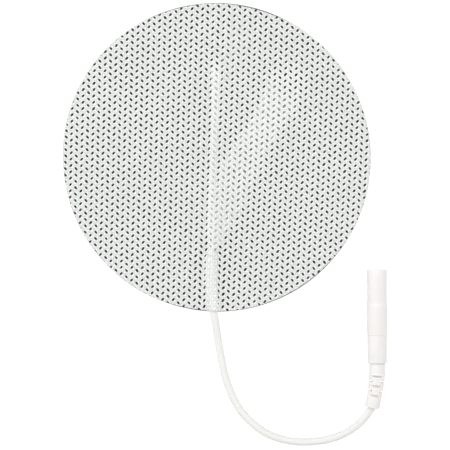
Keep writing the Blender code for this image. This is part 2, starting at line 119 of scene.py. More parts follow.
def new_material(name: str) -> tuple[bpy.types.Material, bpy.types.NodeTree, bpy.types.Node]:
    """Makes a material.

    Args:
        name: its name.

    Returns:
        The material, its node tree and its Principled shader.
    """
    material = bpy.data.materials.new(name)
    material.use_nodes = True
    tree = material.node_tree
    return material, tree, tree.nodes["Principled BSDF"]


def put(name: str, data: bpy.types.ID) -> bpy.types.Object:
    """Puts a mesh, light or camera in the scene.

    Args:
        name: the object's name.
        data: the mesh, light or camera.

    Returns:
        The object, at the origin.
    """
    thing = bpy.data.objects.new(name, data)
    bpy.context.scene.collection.objects.link(thing)
    return thing


def full_turn(sides: int) -> np.ndarray:
    """Even angles once round: 2 pi k / sides."""
    return np.linspace(0.0, 2 * np.pi, sides, endpoint=False)


def unit(vectors: np.ndarray) -> np.ndarray:
    """Scales each vector to length 1: v / |v|."""
    return vectors / np.linalg.norm(vectors, axis=-1, keepdims=True)


def mesh_piece(
    name: str,
    points: np.ndarray,
    faces: list[np.ndarray],
    uv: np.ndarray | None = None,
    marks: dict[str, np.ndarray] | None = None,
    sharp: float = 40.0,
) -> bpy.types.Object:
    """Puts a closed surface into a smooth mesh object that rides on the part.

    The faces are turned outwards where the volume, the sum of a . (b x c) / 6 over the
    triangles (a, b, c), comes out negative.

    Args:
        name: the piece's name.
        points: n by 3 positions in metres.
        faces: arrays of triangles or quads, as vertex numbers.
        uv: n by 2 surface coordinates.
        marks: values at the points by name, for the material to read.
        sharp: the angle in degrees past which an edge stays sharp.

    Returns:
        The object, at the origin.
    """
    fans = [f[:, [0, i, i + 1]] for f in faces for i in range(1, f.shape[1] - 1)]
    a, b, c = points[np.concatenate(fans).T]
    if np.einsum("ij,ij->", a, np.cross(b, c)) < 0:
        faces = [f[:, ::-1] for f in faces]
    mesh = bpy.data.meshes.new(name)
    mesh.from_pydata(points.tolist(), [], [row for f in faces for row in f.tolist()])
    mesh.update()
    if uv is not None:
        layer = mesh.uv_layers.new(name="surface")
        at = np.empty(len(mesh.loops), np.int32)
        mesh.loops.foreach_get("vertex_index", at)
        layer.data.foreach_set("uv", uv[at].astype(np.float32).ravel())
    for mark, values in (marks or {}).items():
        mesh.attributes.new(mark, "FLOAT", "POINT").data.foreach_set("value", values)
    mesh.shade_smooth()
    mesh.set_sharp_from_angle(angle=math.radians(sharp))
    piece = put(name, mesh)
    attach(piece, ROOT)
    return piece


def ring_surface(rings: np.ndarray, capped: bool) -> tuple[np.ndarray, list[np.ndarray]]:
    """Joins rings of points into a closed surface.

    Ring i and ring i + 1 are joined by quads. The last ring is joined to the first, or the two
    end rings are closed by fans of triangles to their centres.

    Args:
        rings: n by m by 3 points, each ring once round the axis.
        capped: closes the ends with fans, and otherwise joins the last ring to the first.

    Returns:
        The points and the face arrays.
    """
    count, sides = rings.shape[:2]
    number = np.arange(count * sides).reshape(count, sides)
    if not capped:
        number = np.vstack([number, number[:1]])
    near, far = number[:-1], number[1:]
    quads = np.stack([near, np.roll(near, -1, 1), np.roll(far, -1, 1), far], axis=-1)
    points = rings.reshape(-1, 3)
    faces = [quads.reshape(-1, 4)]
    if capped:
        points = np.vstack([points, rings[0].mean(axis=0), rings[-1].mean(axis=0)])
        for ring, centre in ((number[0][::-1], count * sides), (number[-1], count * sides + 1)):
            faces.append(np.stack([ring, np.roll(ring, -1), np.full(sides, centre)], axis=-1))
    return points, faces


def softened(corners: list[tuple[float, float, float]], steps: int = 4) -> np.ndarray:
    """Rounds the corners of an outline.

    Each corner becomes a quadratic curve that leaves the side before it and joins the side after
    it at the corner's own reach: (1-t)^2 before + 2t(1-t) corner + t^2 after.

    Args:
        corners: radius, height and reach of each corner, in metres. Reach 0 stays sharp.
        steps: segments on each rounded corner.

    Returns:
        n by 2 points of radius and height.
    """
    at = np.array([corner[:2] for corner in corners])
    outline = []
    for i, (_, _, reach) in enumerate(corners):
        if reach == 0:
            outline.append(at[i : i + 1])
            continue
        ends = [at[(i + side) % len(at)] - at[i] for side in (-1, 1)]
        before, after = (at[i] + end / np.linalg.norm(end) * reach for end in ends)
        t = np.linspace(0.0, 1.0, steps + 1)[:, None]
        outline.append((1 - t) ** 2 * before + 2 * t * (1 - t) * at[i] + t**2 * after)
    return np.vstack(outline)


def turned_rings(outline: np.ndarray, sides: int) -> np.ndarray:
    """Turns an outline round the z axis: (r cos a, r sin a, h).

    Args:
        outline: n by 2 points of radius and height.
        sides: how many points go round.

    Returns:
        n by sides by 3 points.
    """
    angle = full_turn(sides)
    radius, height = outline[:, :1], outline[:, 1:]
    flat = [radius * np.cos(angle), radius * np.sin(angle), height + 0 * angle]
    return np.stack(flat, axis=-1)


def smooth_route(points: np.ndarray, count: int) -> np.ndarray:
    """Evenly spaced points on the natural cubic curve through the given ones.

    The curve's second derivatives solve the usual three-band system with zero at both ends, and
    the points are then read at equal lengths along it.

    Args:
        points: the points that the curve passes through.
        count: how many points to return.

    Returns:
        count points.
    """
    points = np.asarray(points, float)
    steps = np.linalg.norm(np.diff(points, axis=0), axis=1)
    at = np.concatenate([[0.0], np.cumsum(steps)])
    inner = np.arange(1, len(points) - 1)
    rows = np.eye(len(points))
    rows[inner, inner - 1] = steps[:-1]
    rows[inner, inner] = 2 * (steps[:-1] + steps[1:])
    rows[inner, inner + 1] = steps[1:]
    slopes = np.diff(points, axis=0) / steps[:, None]
    right = np.zeros_like(points)
    right[inner] = 6 * np.diff(slopes, axis=0)
    bends = np.linalg.solve(rows, right)
    place = np.linspace(0.0, at[-1], ROUTE_SAMPLES)
    i = np.clip(np.searchsorted(at, place) - 1, 0, len(steps) - 1)
    h = steps[i][:, None]
    before = (place - at[i])[:, None]
    after = h - before
    fine = (bends[i] * after**3 + bends[i + 1] * before**3) / (6 * h)
    fine += (points[i] / h - bends[i] * h / 6) * after
    fine += (points[i + 1] / h - bends[i + 1] * h / 6) * before
    run = np.concatenate([[0.0], np.cumsum(np.linalg.norm(np.diff(fine, axis=0), axis=1))])
    wanted = np.linspace(0.0, run[-1], count)
    return np.stack([np.interp(wanted, run, column) for column in fine.T], axis=1)


def smooth_step(value: np.ndarray) -> np.ndarray:
    """Eases 0 to 1: x^2 (3 - 2x), held at 0 below and 1 above."""
    share = np.clip(value, 0.0, 1.0)
    return share * share * (3 - 2 * share)


def nearest_on_line(plan: np.ndarray, line: np.ndarray) -> tuple[np.ndarray, np.ndarray]:
    """Finds the nearest place on a line for each point in plan.

    Each segment's nearest place is its start plus clip((p - a) . d / d . d, 0, 1) times its
    direction d, and the nearest of all segments is kept.

    Args:
        plan: n by 2 points.
        line: m by 2 points along the line.

    Returns:
        The distances, and the places along the line counted in segments.
    """
    ahead = np.diff(line, axis=0)
    offset = plan[:, None] - line[None, :-1]
    share = np.clip((offset * ahead).sum(-1) / (ahead**2).sum(-1), 0.0, 1.0)
    gap = np.linalg.norm(offset - share[..., None] * ahead, axis=-1)
    best = gap.argmin(axis=1)
    rows = np.arange(len(plan))
    return gap[rows, best], best + share[rows, best]


def die_cut(angle: np.ndarray, radius: float, waver: float, phase: float) -> np.ndarray:
    """Radius of a stamped edge.

    All layers are stamped at once, 0.14 mm off centre and 0.13 mm oval, as 0.14 cos(a + 47) and
    0.13 cos(2 (a + 56)) with the angle a in degrees. Each layer adds two waves of its own.

    Args:
        angle: the directions from the centre.
        radius: the nominal radius.
        waver: the size of the layer's waves.
        phase: what sets them apart from another layer's.

    Returns:
        The radius in each direction.
    """
    stamp = 0.14 * np.cos(angle + math.radians(47)) + 0.13 * np.cos(2 * (angle + math.radians(56)))
    waves = np.sin(5 * angle + 2 * phase) + 0.7 * np.sin(11 * angle - phase)
    return radius + stamp * MM + waver * waves


def clip_round(
    points: np.ndarray, faces: np.ndarray, level: np.ndarray
) -> tuple[np.ndarray, np.ndarray]:
    """Cuts a triangle mesh where a value that is known at its points reaches zero.

    A side whose ends lie apart is cut at a + (b - a) level_a / (level_a - level_b). A triangle
    with one corner inside keeps a triangle, and one with two keeps a quad of two triangles.

    Args:
        points: n by k columns of positions and other values.
        faces: triangles.
        level: the value at each point, negative where the mesh is kept.

    Returns:
        The points and triangles of the kept part, open along the cut.
    """
    inside = level < 0
    hits = inside[faces].sum(axis=1)
    mixed = faces[(hits == 1) | (hits == 2)]
    state = inside[mixed]
    alone = np.where(state.sum(axis=1) == 1, state.argmax(axis=1), state.argmin(axis=1))
    order = (alone[:, None] + np.arange(3)) % 3
    mixed = np.take_along_axis(mixed, order, axis=1)
    sides = np.sort(np.concatenate([mixed[:, [0, 1]], mixed[:, [0, 2]]]), axis=1)
    sides, which = np.unique(sides, axis=0, return_inverse=True)
    start, end = level[sides[:, 0]], level[sides[:, 1]]
    share = (start / (start - end))[:, None]
    cut = points[sides[:, 0]] * (1 - share) + points[sides[:, 1]] * share
    ab, ac = which.reshape(2, -1) + len(points)
    lone = inside[mixed[:, 0]]
    corner = np.stack([mixed[:, 0], ab, ac], axis=1)[lone]
    first = np.stack([ab, mixed[:, 1], mixed[:, 2]], axis=1)[~lone]
    second = np.stack([ab, mixed[:, 2], ac], axis=1)[~lone]
    kept = np.concatenate([faces[hits == 3], corner, first, second])
    used, renamed = np.unique(kept, return_inverse=True)
    return np.vstack([points, cut])[used], renamed.reshape(-1, 3)


@dataclass(frozen=True)
class KnittedPolyester:
    """Bleached polyester warp knit: white and matt, and thin enough that the film greys it."""

    # The low colour is yarn in a valley over the film, darkened with painted shade; the high one
    # is a yarn crown over the lead, lightened with a painted highlight.
    shaded_valley_over_film: str = "CED0CD"
    lit_crown_over_lead: str = "FCFDFB"
    stitch_width: float = 1.191 * MM
    slant: float = math.tan(STITCH_SLANT)
    # Real filaments are about 0.02 mm. They are drawn in strands of 0.25 mm, so that they show.
    strands_per_mm: float = 4.0
    streaks_per_mm: float = 1.2
    strand_depth: float = 0.06 * MM
    patch: float = 16 * MM
    # The crown mark's weight paints highlights on the yarn's crowns and shade in its valleys.
    crown_highlight_weight: float = 0.95
    backing_weight: float = 0.32
    strand_weight: float = 2.0
    patch_weight: float = 0.25
    span: tuple[float, float] = (0.935, 2.135)

    def strands(self, tree: bpy.types.NodeTree) -> bpy.types.NodeSocket:
        """Draws filaments along each stitch, from the knit's own column and row coordinates.

        The filaments' coordinate is row + slant * pingpong(column), so they turn from one slant
        to the other at each border between columns.

        Args:
            tree: the material's node tree.

        Returns:
            The socket with the filaments' height.
        """
        place = add_node(tree, "ShaderNodeUVMap", {"uv_map": "surface"}, {})
        axes = add_node(tree, "ShaderNodeSeparateXYZ", {}, {0: place.outputs[0]})
        column, row = axes.outputs[0], axes.outputs[1]
        fold = {"operation": "PINGPONG", 1: self.stitch_width}
        zigzag = add_node(tree, "ShaderNodeMath", fold, {0: column})
        rise = {"operation": "MULTIPLY_ADD", 1: self.slant}
        along = add_node(tree, "ShaderNodeMath", rise, {0: zigzag.outputs[0], 2: row})
        across = add_node(tree, "ShaderNodeCombineXYZ", {}, {0: column, 1: along.outputs[0]})
        stretch = {"Scale": (self.streaks_per_mm / MM, self.strands_per_mm / MM, 1.0)}
        streak = add_node(tree, "ShaderNodeMapping", stretch, {"Vector": across.outputs[0]})
        fine = {"Scale": 1.0, "Detail": 2.0, "Roughness": 0.6}
        return add_node(tree, "ShaderNodeTexNoise", fine, {"Vector": streak.outputs[0]}).outputs[0]

    def material(self) -> bpy.types.Material:
        """Adds up what lightens the yarn: a painted highlight on its crowns, which leaves painted
        shade in the valleys between them, what lies behind it, filaments and patches.

        Each part is weighted and added, and the sum's span is spread from the colour of a shaded
        valley over the film to that of a lit crown over the lead.

        Returns:
            The material.
        """
        material, tree, shader = new_material("knitted_polyester_cover")
        strands = self.strands(tree)
        part_axes = add_node(tree, "ShaderNodeTexCoord", {}, {})
        place = {"Vector": part_axes.outputs["Object"]}
        patchy = {"Scale": 1 / self.patch, "Detail": 2.0}
        patches = add_node(tree, "ShaderNodeTexNoise", patchy, place)
        # The crown mark paints a highlight on the yarn's crowns and shade in the valleys between
        # them.
        crown = add_node(tree, "ShaderNodeAttribute", {"attribute_name": "crown"}, {})
        highlight_ease = {"interpolation_type": "SMOOTHSTEP", "From Max": 0.6}
        crown = add_node(tree, "ShaderNodeMapRange", highlight_ease, {"Value": crown.outputs["Fac"]})
        backing = add_node(tree, "ShaderNodeAttribute", {"attribute_name": "backing"}, {})
        parts = [
            (crown.outputs[0], self.crown_highlight_weight),
            (backing.outputs["Fac"], self.backing_weight),
            (strands, self.strand_weight),
            (patches.outputs[0], self.patch_weight),
        ]
        tone = add_node(tree, "ShaderNodeValue", {}, {}).outputs[0]
        tone.default_value = 0.0
        for part, weight in parts:
            join = {"operation": "MULTIPLY_ADD", 1: weight}
            tone = add_node(tree, "ShaderNodeMath", join, {0: part, 2: tone}).outputs[0]
        spread = {"From Min": self.span[0], "From Max": self.span[1]}
        tone = add_node(tree, "ShaderNodeMapRange", spread, {"Value": tone}).outputs[0]
        pair = {MIX_FROM: linear(self.shaded_valley_over_film), MIX_TO: linear(self.lit_crown_over_lead)}
        blend = add_node(tree, "ShaderNodeMix", {"data_type": "RGBA"} | pair, {0: tone})
        relief = {"Strength": 0.5, "Distance": self.strand_depth}
        bump = add_node(tree, "ShaderNodeBump", relief, {"Height": strands})
        matt = {"Roughness": 0.82, "Specular IOR Level": 0.3}
        fuzz = {"Sheen Weight": 0.15, "Sheen Roughness": 0.4}
        links = {"Base Color": blend.outputs[MIX_RESULT], "Normal": bump.outputs[0]}
        set_up(tree, shader, matt | fuzz, links)
        return material


@dataclass(frozen=True)
class MottledFinish:
    """A finish with slow mottling in its colour and a fine grain on its surface."""

    name: str
    light: str
    dark: str
    roughness: tuple[float, float]
    mottle_mm: float
    grain_mm: float
    grain_depth_mm: float
    metallic: float = 0.0
    subsurface_mm: float = 0.0
    transmission: float = 0.0
    ior: float = 1.5

    def material(self) -> bpy.types.Material:
        """Builds the finish on Object coordinates.

        One noise of the mottle's size sets the colour and the roughness, and one of the grain's
        size sets the bump.

        Returns:
            The material.
        """
        material, tree, shader = new_material(self.name)
        part_axes = add_node(tree, "ShaderNodeTexCoord", {}, {})
        place = {"Vector": part_axes.outputs["Object"]}
        slow = {"Scale": 1 / (self.mottle_mm * MM), "Detail": 3.0}
        mottle = add_node(tree, "ShaderNodeTexNoise", slow, place)
        fine = {"Scale": 1 / (self.grain_mm * MM), "Detail": 2.0}
        grain = add_node(tree, "ShaderNodeTexNoise", fine, place)
        pair = {"data_type": "RGBA", MIX_FROM: linear(self.dark), MIX_TO: linear(self.light)}
        blend = add_node(tree, "ShaderNodeMix", pair, {0: mottle.outputs[0]})
        colour = blend.outputs[MIX_RESULT]
        span = {"To Min": self.roughness[0], "To Max": self.roughness[1]}
        matt = add_node(tree, "ShaderNodeMapRange", span, {"Value": mottle.outputs[0]})
        relief = {"Strength": 0.5, "Distance": self.grain_depth_mm * MM}
        bump = add_node(tree, "ShaderNodeBump", relief, {"Height": grain.outputs[0]})
        body = {"Metallic": self.metallic, "Transmission Weight": self.transmission}
        if not self.metallic:
            body["IOR"] = self.ior
        if self.subsurface_mm:
            body["Subsurface Weight"] = 0.7
            body["Subsurface Scale"] = self.subsurface_mm * MM
            body["Subsurface Radius"] = (1.0, 0.95, 0.9)
        links = {"Base Color": colour, "Roughness": matt.outputs[0], "Normal": bump.outputs[0]}
        set_up(tree, shader, body, links)
        return material


# Clear water-based gel: wet, soft and almost without colour over the black film.
HYDROGEL = MottledFinish(
    "clear_hydrogel", "E4E9E6", "D2D9D6", (0.12, 0.22), 6.0, 0.9, 0.02, transmission=0.85, ior=1.36
)
# Carbon-filled vinyl film, calendered: black with a satin surface.
CARBON_FILM = MottledFinish("carbon_film_satin", "202020", "151515", (0.45, 0.6), 5.0, 0.12, 0.01)
# Stainless-steel fibre, drawn and crimped: pale grey with a soft shine.
STEEL_FIBRE = MottledFinish(
    "stainless_steel_fibre", "F2F3F0", "D2D3CF", (0.4, 0.55), 2.0, 0.1, 0.01, metallic=0.2
)
# Soft white PVC, extruded: satin, and a little translucent at its edges.
LEAD_PVC = MottledFinish(
    "extruded_pvc_lead", "EEEDEB", "EAE9E6", (0.5, 0.6), 4.0, 0.25, 0.01, subsurface_mm=0.5
)
# Moulded polypropylene: warm white, smooth, with a faint spark-eroded grain from its mould.
CONNECTOR = MottledFinish(
    "moulded_white_plastic", "F1EEEC", "EDEAE7", (0.3, 0.36), 40.0, 0.2, 0.008, subsurface_mm=0.7
)
# Nickel plate on turned brass: pale metal with a slightly warm shine.
NICKEL = MottledFinish(
    "nickel_plated_brass", "CFCBC2", "BDB8AE", (0.2, 0.26), 1.5, 0.1, 0.004, metallic=1.0
)


@dataclass(frozen=True)
class LightPanel:
    """A light panel that faces the part. Its brightness is its radiance."""

    name: str
    place: tuple[float, float, float]
    size: tuple[float, float]
    brightness: float
    colour: tuple[float, float, float] = (1.0, 1.0, 1.0)

    def hang(self) -> bpy.types.Object:
        """Hangs the panel. Its power is pi * brightness * area.

        Returns:
            The panel.
        """
        data = bpy.data.lights.new(self.name, "AREA")
        data.shape = "RECTANGLE"
        data.size, data.size_y = self.size
        data.energy = math.pi * self.brightness * self.size[0] * self.size[1]
        data.color = self.colour
        panel = put(self.name, data)
        panel.location = self.place
        panel.rotation_euler = (-panel.location).to_track_quat("-Z", "Y").to_euler()
        return panel


OVERHEAD = LightPanel("overhead", (-0.14, 0.20, 0.47), (0.63, 0.63), 0.77)
SOFTBOX = LightPanel("softbox", (-0.25, 0.54, 0.11), (4.5, 2.8), 0.95, (0.65, 0.97, 1.0))


@dataclass
class Studio:
    """The camera straight above, white ground, and soft light brightest from the top left."""

    view_width: float = 101.94 * MM
    view_centre: tuple[float, float] = (1.98 * MM, -15.45 * MM)
    focus_height: float = 1.5 * MM
    camera_height: float = 0.9
    near_clip: float = 0.01
    sensor: float = 36.0
    sky: float = 0.885
    floor_size: float = 3.0
    table_glow: float = 1.13
    card_height: float = -60 * MM
    card_colour: str = "F4F4F4"
    flag_top: float = 15 * MM
    flag_half: float = 135 * MM
    near_flag: float = -200 * MM
    far_flag: float = 110 * MM
    flag_colour: str = "808080"

    def build(self) -> None:
        """Makes the camera, lights and floor."""
        self.place_camera()
        self.place_lights()
        self.lay_floor()

    def place_camera(self) -> None:
        """Aims a long lens straight down. Its length is sensor * height / view width."""
        data = bpy.data.cameras.new("camera")
        data.sensor_width = self.sensor
        data.lens = self.sensor * self.camera_height / self.view_width
        data.clip_start = self.near_clip
        camera = put("camera", data)
        camera.location = (*self.view_centre, self.camera_height + self.focus_height)
        bpy.context.scene.camera = camera

    def place_lights(self) -> None:
        """Lights the part evenly, more from above, and stands a softbox up for the shine alone.

        The softbox stands across the photo's top and reaches round to its left, and only
        reflections see it.
        """
        scene = bpy.context.scene
        scene.view_settings.view_transform = "Standard"
        world = bpy.data.worlds.new("studio")
        world.use_nodes = True
        sky = world.node_tree.nodes["Background"]
        sky.inputs["Color"].default_value = (1.0, 1.0, 1.0, 1.0)
        sky.inputs["Strength"].default_value = self.sky
        scene.world = world
        OVERHEAD.hang().visible_camera = False
        SOFTBOX.hang().visible_diffuse = False

    def lay_floor(self) -> None:
        """Lays a white light table that only the camera sees, over a card that only light sees.

        The table's own glow is all its light, so it stays evenly white, as in the photo. It is
        only just brighter than white, which keeps the part's edges clear. Two low grey flags,
        which only light sees too, darken those edges a little on the near and far sides.
        """
        half = self.floor_size / 2
        square = [(-half, -half), (half, -half), (half, half), (-half, half)]
        at_part = [(x, y, 0.0) for x, y in square]
        below = [(x, y, self.card_height) for x, y in square]
        table = self.lay("white_light_table", at_part, "000000", self.table_glow)
        table.visible_diffuse = table.visible_glossy = False
        table.visible_shadow = table.visible_transmission = False
        unseen = [self.lay("white_card", below, self.card_colour)]
        low, high, reach = self.card_height, self.flag_top, self.flag_half
        for name, y in (("near_flag", self.near_flag), ("far_flag", self.far_flag)):
            corners = [(-reach, y, low), (reach, y, low), (reach, y, high), (-reach, y, high)]
            unseen.append(self.lay(name, corners, self.flag_colour))
        for piece in unseen:
            piece.visible_camera = False

    def lay(
        self, name: str, corners: list[tuple[float, float, float]], colour: str, glow: float = 0.0
    ) -> bpy.types.Object:
        """Lays one flat sheet.

        Args:
            name: its name and its material's.
            corners: its four corners.
            colour: its hex colour.
            glow: the strength of its own white light.

        Returns:
            The sheet.
        """
        mesh = bpy.data.meshes.new(name)
        mesh.from_pydata(corners, [], [(0, 1, 2, 3)])
        sheet = put(name, mesh)
        material, tree, shader = new_material(name)
        finish = {"Base Color": linear(colour), "Roughness": 0.9}
        light = {"Emission Color": (1.0, 1.0, 1.0, 1.0), "Emission Strength": glow}
        set_up(tree, shader, finish | light, {})
        mesh.materials.append(material)
        return sheet


@dataclass
class Connector:
    """The 2 mm socket: slotted strain relief, stepped sleeve and slit contact tube."""

    place: tuple[float, float, float] = (36.45 * MM, -46.80 * MM, 2.32 * MM)
    lean: float = math.radians(0.3)
    length: float = 21.27 * MM
    mouth: float = 2.25 * MM
    waist: float = 2.19 * MM
    grip: float = 2.32 * MM
    grip_end: float = 2.27 * MM
    tail: float = 2.20 * MM
    tail_end: float = 2.15 * MM
    grip_top: float = 13.37 * MM
    grip_base: float = 6.37 * MM
    groove: float = 0.07 * MM
    contact_bore: float = 1.46 * MM
    crimp_bore: float = 0.90 * MM
    spigot_bore: float = 1.55 * MM
    spigot: float = 1.45 * MM
    spigot_length: float = 3.0 * MM
    step: float = 6.3 * MM
    funnel: float = 0.5 * MM
    collar: float = 1.79 * MM
    collar_length: float = 2.6 * MM
    lip: float = 0.10 * MM
    relief_length: float = 10.1 * MM
    relief_end: float = 1.65 * MM
    slot_start: float = 2.88 * MM
    slot_pitch: float = 1.09 * MM
    slot_width: float = 0.40 * MM
    slot_count: int = 5
    side_core: float = 0.90 * MM
    top_core: float = 1.15 * MM
    seat: float = 0.95 * MM
    seat_depth: float = 1.0 * MM
    end_play: float = 0.3 * MM
    tail_gap: float = 0.1 * MM
    turn: float = math.radians(15.2)
    sag_share: float = 0.394
    sides: int = 144

    def to_world(self, points: np.ndarray) -> np.ndarray:
        """Moves points from the connector's frame, with z from tail to mouth, to the part's."""
        turn = Matrix.Rotation(self.lean, 3, "Z") @ Matrix.Rotation(-math.pi / 2, 3, "X")
        return points @ np.array(turn).T + np.array(self.place)

    def bent(self, points: np.ndarray) -> np.ndarray:
        """Bends the relief along one circular arc.

        With the bend's direction d and the arc's radius R = length / turn, a point at depth -z
        turns by the angle -z / R about the line at R along d.

        Args:
            points: points of the straight relief.

        Returns:
            The points as they lie, with those above the sleeve's tail unmoved.
        """
        down = np.array([-math.sqrt(1 - self.sag_share**2), self.sag_share])
        across = np.array([-down[1], down[0]])
        towards, aside = points[..., :2] @ down, points[..., :2] @ across
        arc = self.relief_length / self.turn
        angle = np.clip(-points[..., 2], 0.0, None) / arc
        swung = arc - (arc - towards) * np.cos(angle)
        depth = np.maximum(points[..., 2], 0.0) - (arc - towards) * np.sin(angle)
        flat = swung[..., None] * down + aside[..., None] * across
        return np.concatenate([flat, depth[..., None]], axis=-1)

    def lead_seat(self) -> np.ndarray:
        """Finds where the lead enters the relief's end, and where it stops inside.

        Returns:
            Both points.
        """
        inner = self.relief_length - self.seat_depth + self.end_play
        axis = np.array([[0.0, 0.0, -self.relief_length], [0.0, 0.0, -inner]])
        return self.to_world(self.bent(axis))

    def build_sleeve(self) -> bpy.types.Object:
        """Turns the sleeve's outline: mouth, waist, flared grip, tail, and the stepped bore.

        Each corner has its radius, its height and the reach of its rounding.

        Returns:
            The sleeve.
        """
        socket_end = self.spigot_length + self.end_play
        outline = softened(
            [
                (self.contact_bore + self.funnel / 2, self.length, 0.04 * MM),
                (self.mouth, self.length, 0.24 * MM),
                (self.waist, self.grip_top + 0.7 * MM, 0.3 * MM),
                (self.waist, self.grip_top + 0.22 * MM, 0.12 * MM),
                (self.grip, self.grip_top - 0.22 * MM, 0.18 * MM),
                (self.grip_end, self.grip_base + 0.07 * MM, 0.05 * MM),
                (self.tail - self.groove, self.grip_base + 0.04 * MM, 0.02 * MM),
                (self.tail - self.groove, self.grip_base - 0.08 * MM, 0.02 * MM),
                (self.tail, self.grip_base - 0.14 * MM, 0.05 * MM),
                (self.tail_end, 0.0, 0.33 * MM),
                (self.spigot_bore, 0.0, 0.05 * MM),
                (self.spigot_bore, socket_end, 0.0),
                (self.crimp_bore, socket_end, 0.0),
                (self.crimp_bore, self.step, 0.0),
                (self.contact_bore, self.step, 0.0),
                (self.contact_bore, self.length - self.funnel, 0.1 * MM),
            ]
        )
        rings = self.to_world(turned_rings(outline, self.sides))
        points, faces = ring_surface(rings, capped=False)
        sleeve = mesh_piece("socket_sleeve_moulding", points, faces)
        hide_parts("socket_sleeve")
        return sleeve

    def slot_levels(self) -> list[tuple[float, SlotFacing]]:
        """Places the slots, which open above and below or at the sides by turns.

        Returns:
            Each slot's distance behind the sleeve, and the sides it opens on.
        """
        turns = [SlotFacing.TOP_AND_UNDERSIDE, SlotFacing.SIDES]
        count = range(self.slot_count)
        return [(self.slot_start + self.slot_pitch * i, turns[i % 2]) for i in count]

    def build_relief(self) -> bpy.types.Object:
        """Builds the slotted relief as one radius for each angle and height, then bends it.

        Outside the slots the radius is the outline's. In a slot it is the smaller of that and
        core / |cos(a - facing)|, which is a flat wall at the core's distance from the axis. The
        slots above and below are a little shallower than those at the sides. A slot's walls are
        almost square to the axis, and its edges have a small fillet.

        Returns:
            The relief.
        """
        last = self.slot_start + self.slot_pitch * self.slot_count
        edge = softened(
            [
                (self.spigot, self.spigot_length, 0.15 * MM),
                (self.spigot, -self.tail_gap, 0.0),
                (self.collar, -self.tail_gap, 0.12 * MM),
                (self.collar, -self.collar_length + 0.35 * MM, 0.1 * MM),
                (self.collar + self.lip, -self.collar_length + 0.1 * MM, 0.06 * MM),
                (self.collar + self.lip, -self.collar_length, 0.04 * MM),
                (self.collar, -self.slot_start, 0.05 * MM),
                (self.relief_end, -last, 0.3 * MM),
                (self.relief_end, -self.relief_length, 0.22 * MM),
                (self.seat, -self.relief_length, 0.08 * MM),
                (self.seat, -self.relief_length + self.seat_depth, 0.0),
            ]
        )
        outer, seat = edge[:-6], edge[-6:]
        fillet, wall = 0.03 * MM, 0.004 * MM
        half = self.slot_width / 2
        steps = np.array([half + fillet, half, half - wall, half - 2 * fillet, 0.0])
        steps = np.concatenate([steps, -steps[-2::-1]])
        levels = self.slot_levels()
        cuts = np.concatenate([-start + steps for start, _ in levels])
        height = np.unique(np.round(np.concatenate([outer[:, 1], cuts]), 9))[::-1]
        order = np.argsort(outer[:, 1], kind="stable")
        radius = np.interp(height, outer[order, 1], outer[order, 0])
        angle = full_turn(self.sides)
        radius = np.repeat(radius[:, None], self.sides, axis=1)
        for start, facing in levels:
            away = np.abs(height + start)
            core = self.side_core if facing is SlotFacing.SIDES else self.top_core
            floor = core / np.maximum(np.abs(np.cos(angle - facing.value)), 1e-6)
            heel = np.where(away > half - 1.5 * fillet, fillet, 0.0)[:, None]
            cut = np.minimum(radius, floor[None] + heel)
            nick = radius - np.where(floor < radius, 0.6 * fillet, 0.0)
            radius = np.where((away < half - wall / 2)[:, None], cut, radius)
            radius = np.where((np.abs(away - half) < wall / 2)[:, None], nick, radius)
        flat = [radius * np.cos(angle), radius * np.sin(angle), height[:, None] + 0 * angle]
        rings = np.concatenate([np.stack(flat, axis=-1), turned_rings(seat, self.sides)])
        points, faces = ring_surface(self.to_world(self.bent(rings)), capped=True)
        relief = mesh_piece("slotted_strain_relief", points, faces, sharp=38)
        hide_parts("strain_relief")
        return relief

    def build_contact(self) -> bpy.types.Object:
        """Copies the contact's solid, joins its loose triangles and shades it as a turned part.

        Returns:
            The contact.
        """
        bm = bmesh.new()
        bm.from_mesh(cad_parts["socket_contact"].data)
        bmesh.ops.remove_doubles(bm, verts=bm.verts[:], dist=1e-6)
        mesh = bpy.data.meshes.new("contact_tube")
        bm.to_mesh(mesh)
        bm.free()
        mesh.materials.clear()
        mesh.shade_smooth()
        mesh.set_sharp_from_angle(angle=math.radians(35))
        contact = put("contact_tube", mesh)
        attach(contact, ROOT)
        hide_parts("socket_contact")
        return contact

    def build(self) -> list[bpy.types.Object]:
        """Builds and dresses the three pieces.

        Returns:
            The relief, the sleeve and the contact.
        """
        plastic = CONNECTOR.material()
        sleeve, relief, contact = self.build_sleeve(), self.build_relief(), self.build_contact()
        sleeve.data.materials.append(plastic)
        relief.data.materials.append(plastic)
        contact.data.materials.append(NICKEL.material())
        return [relief, sleeve, contact]


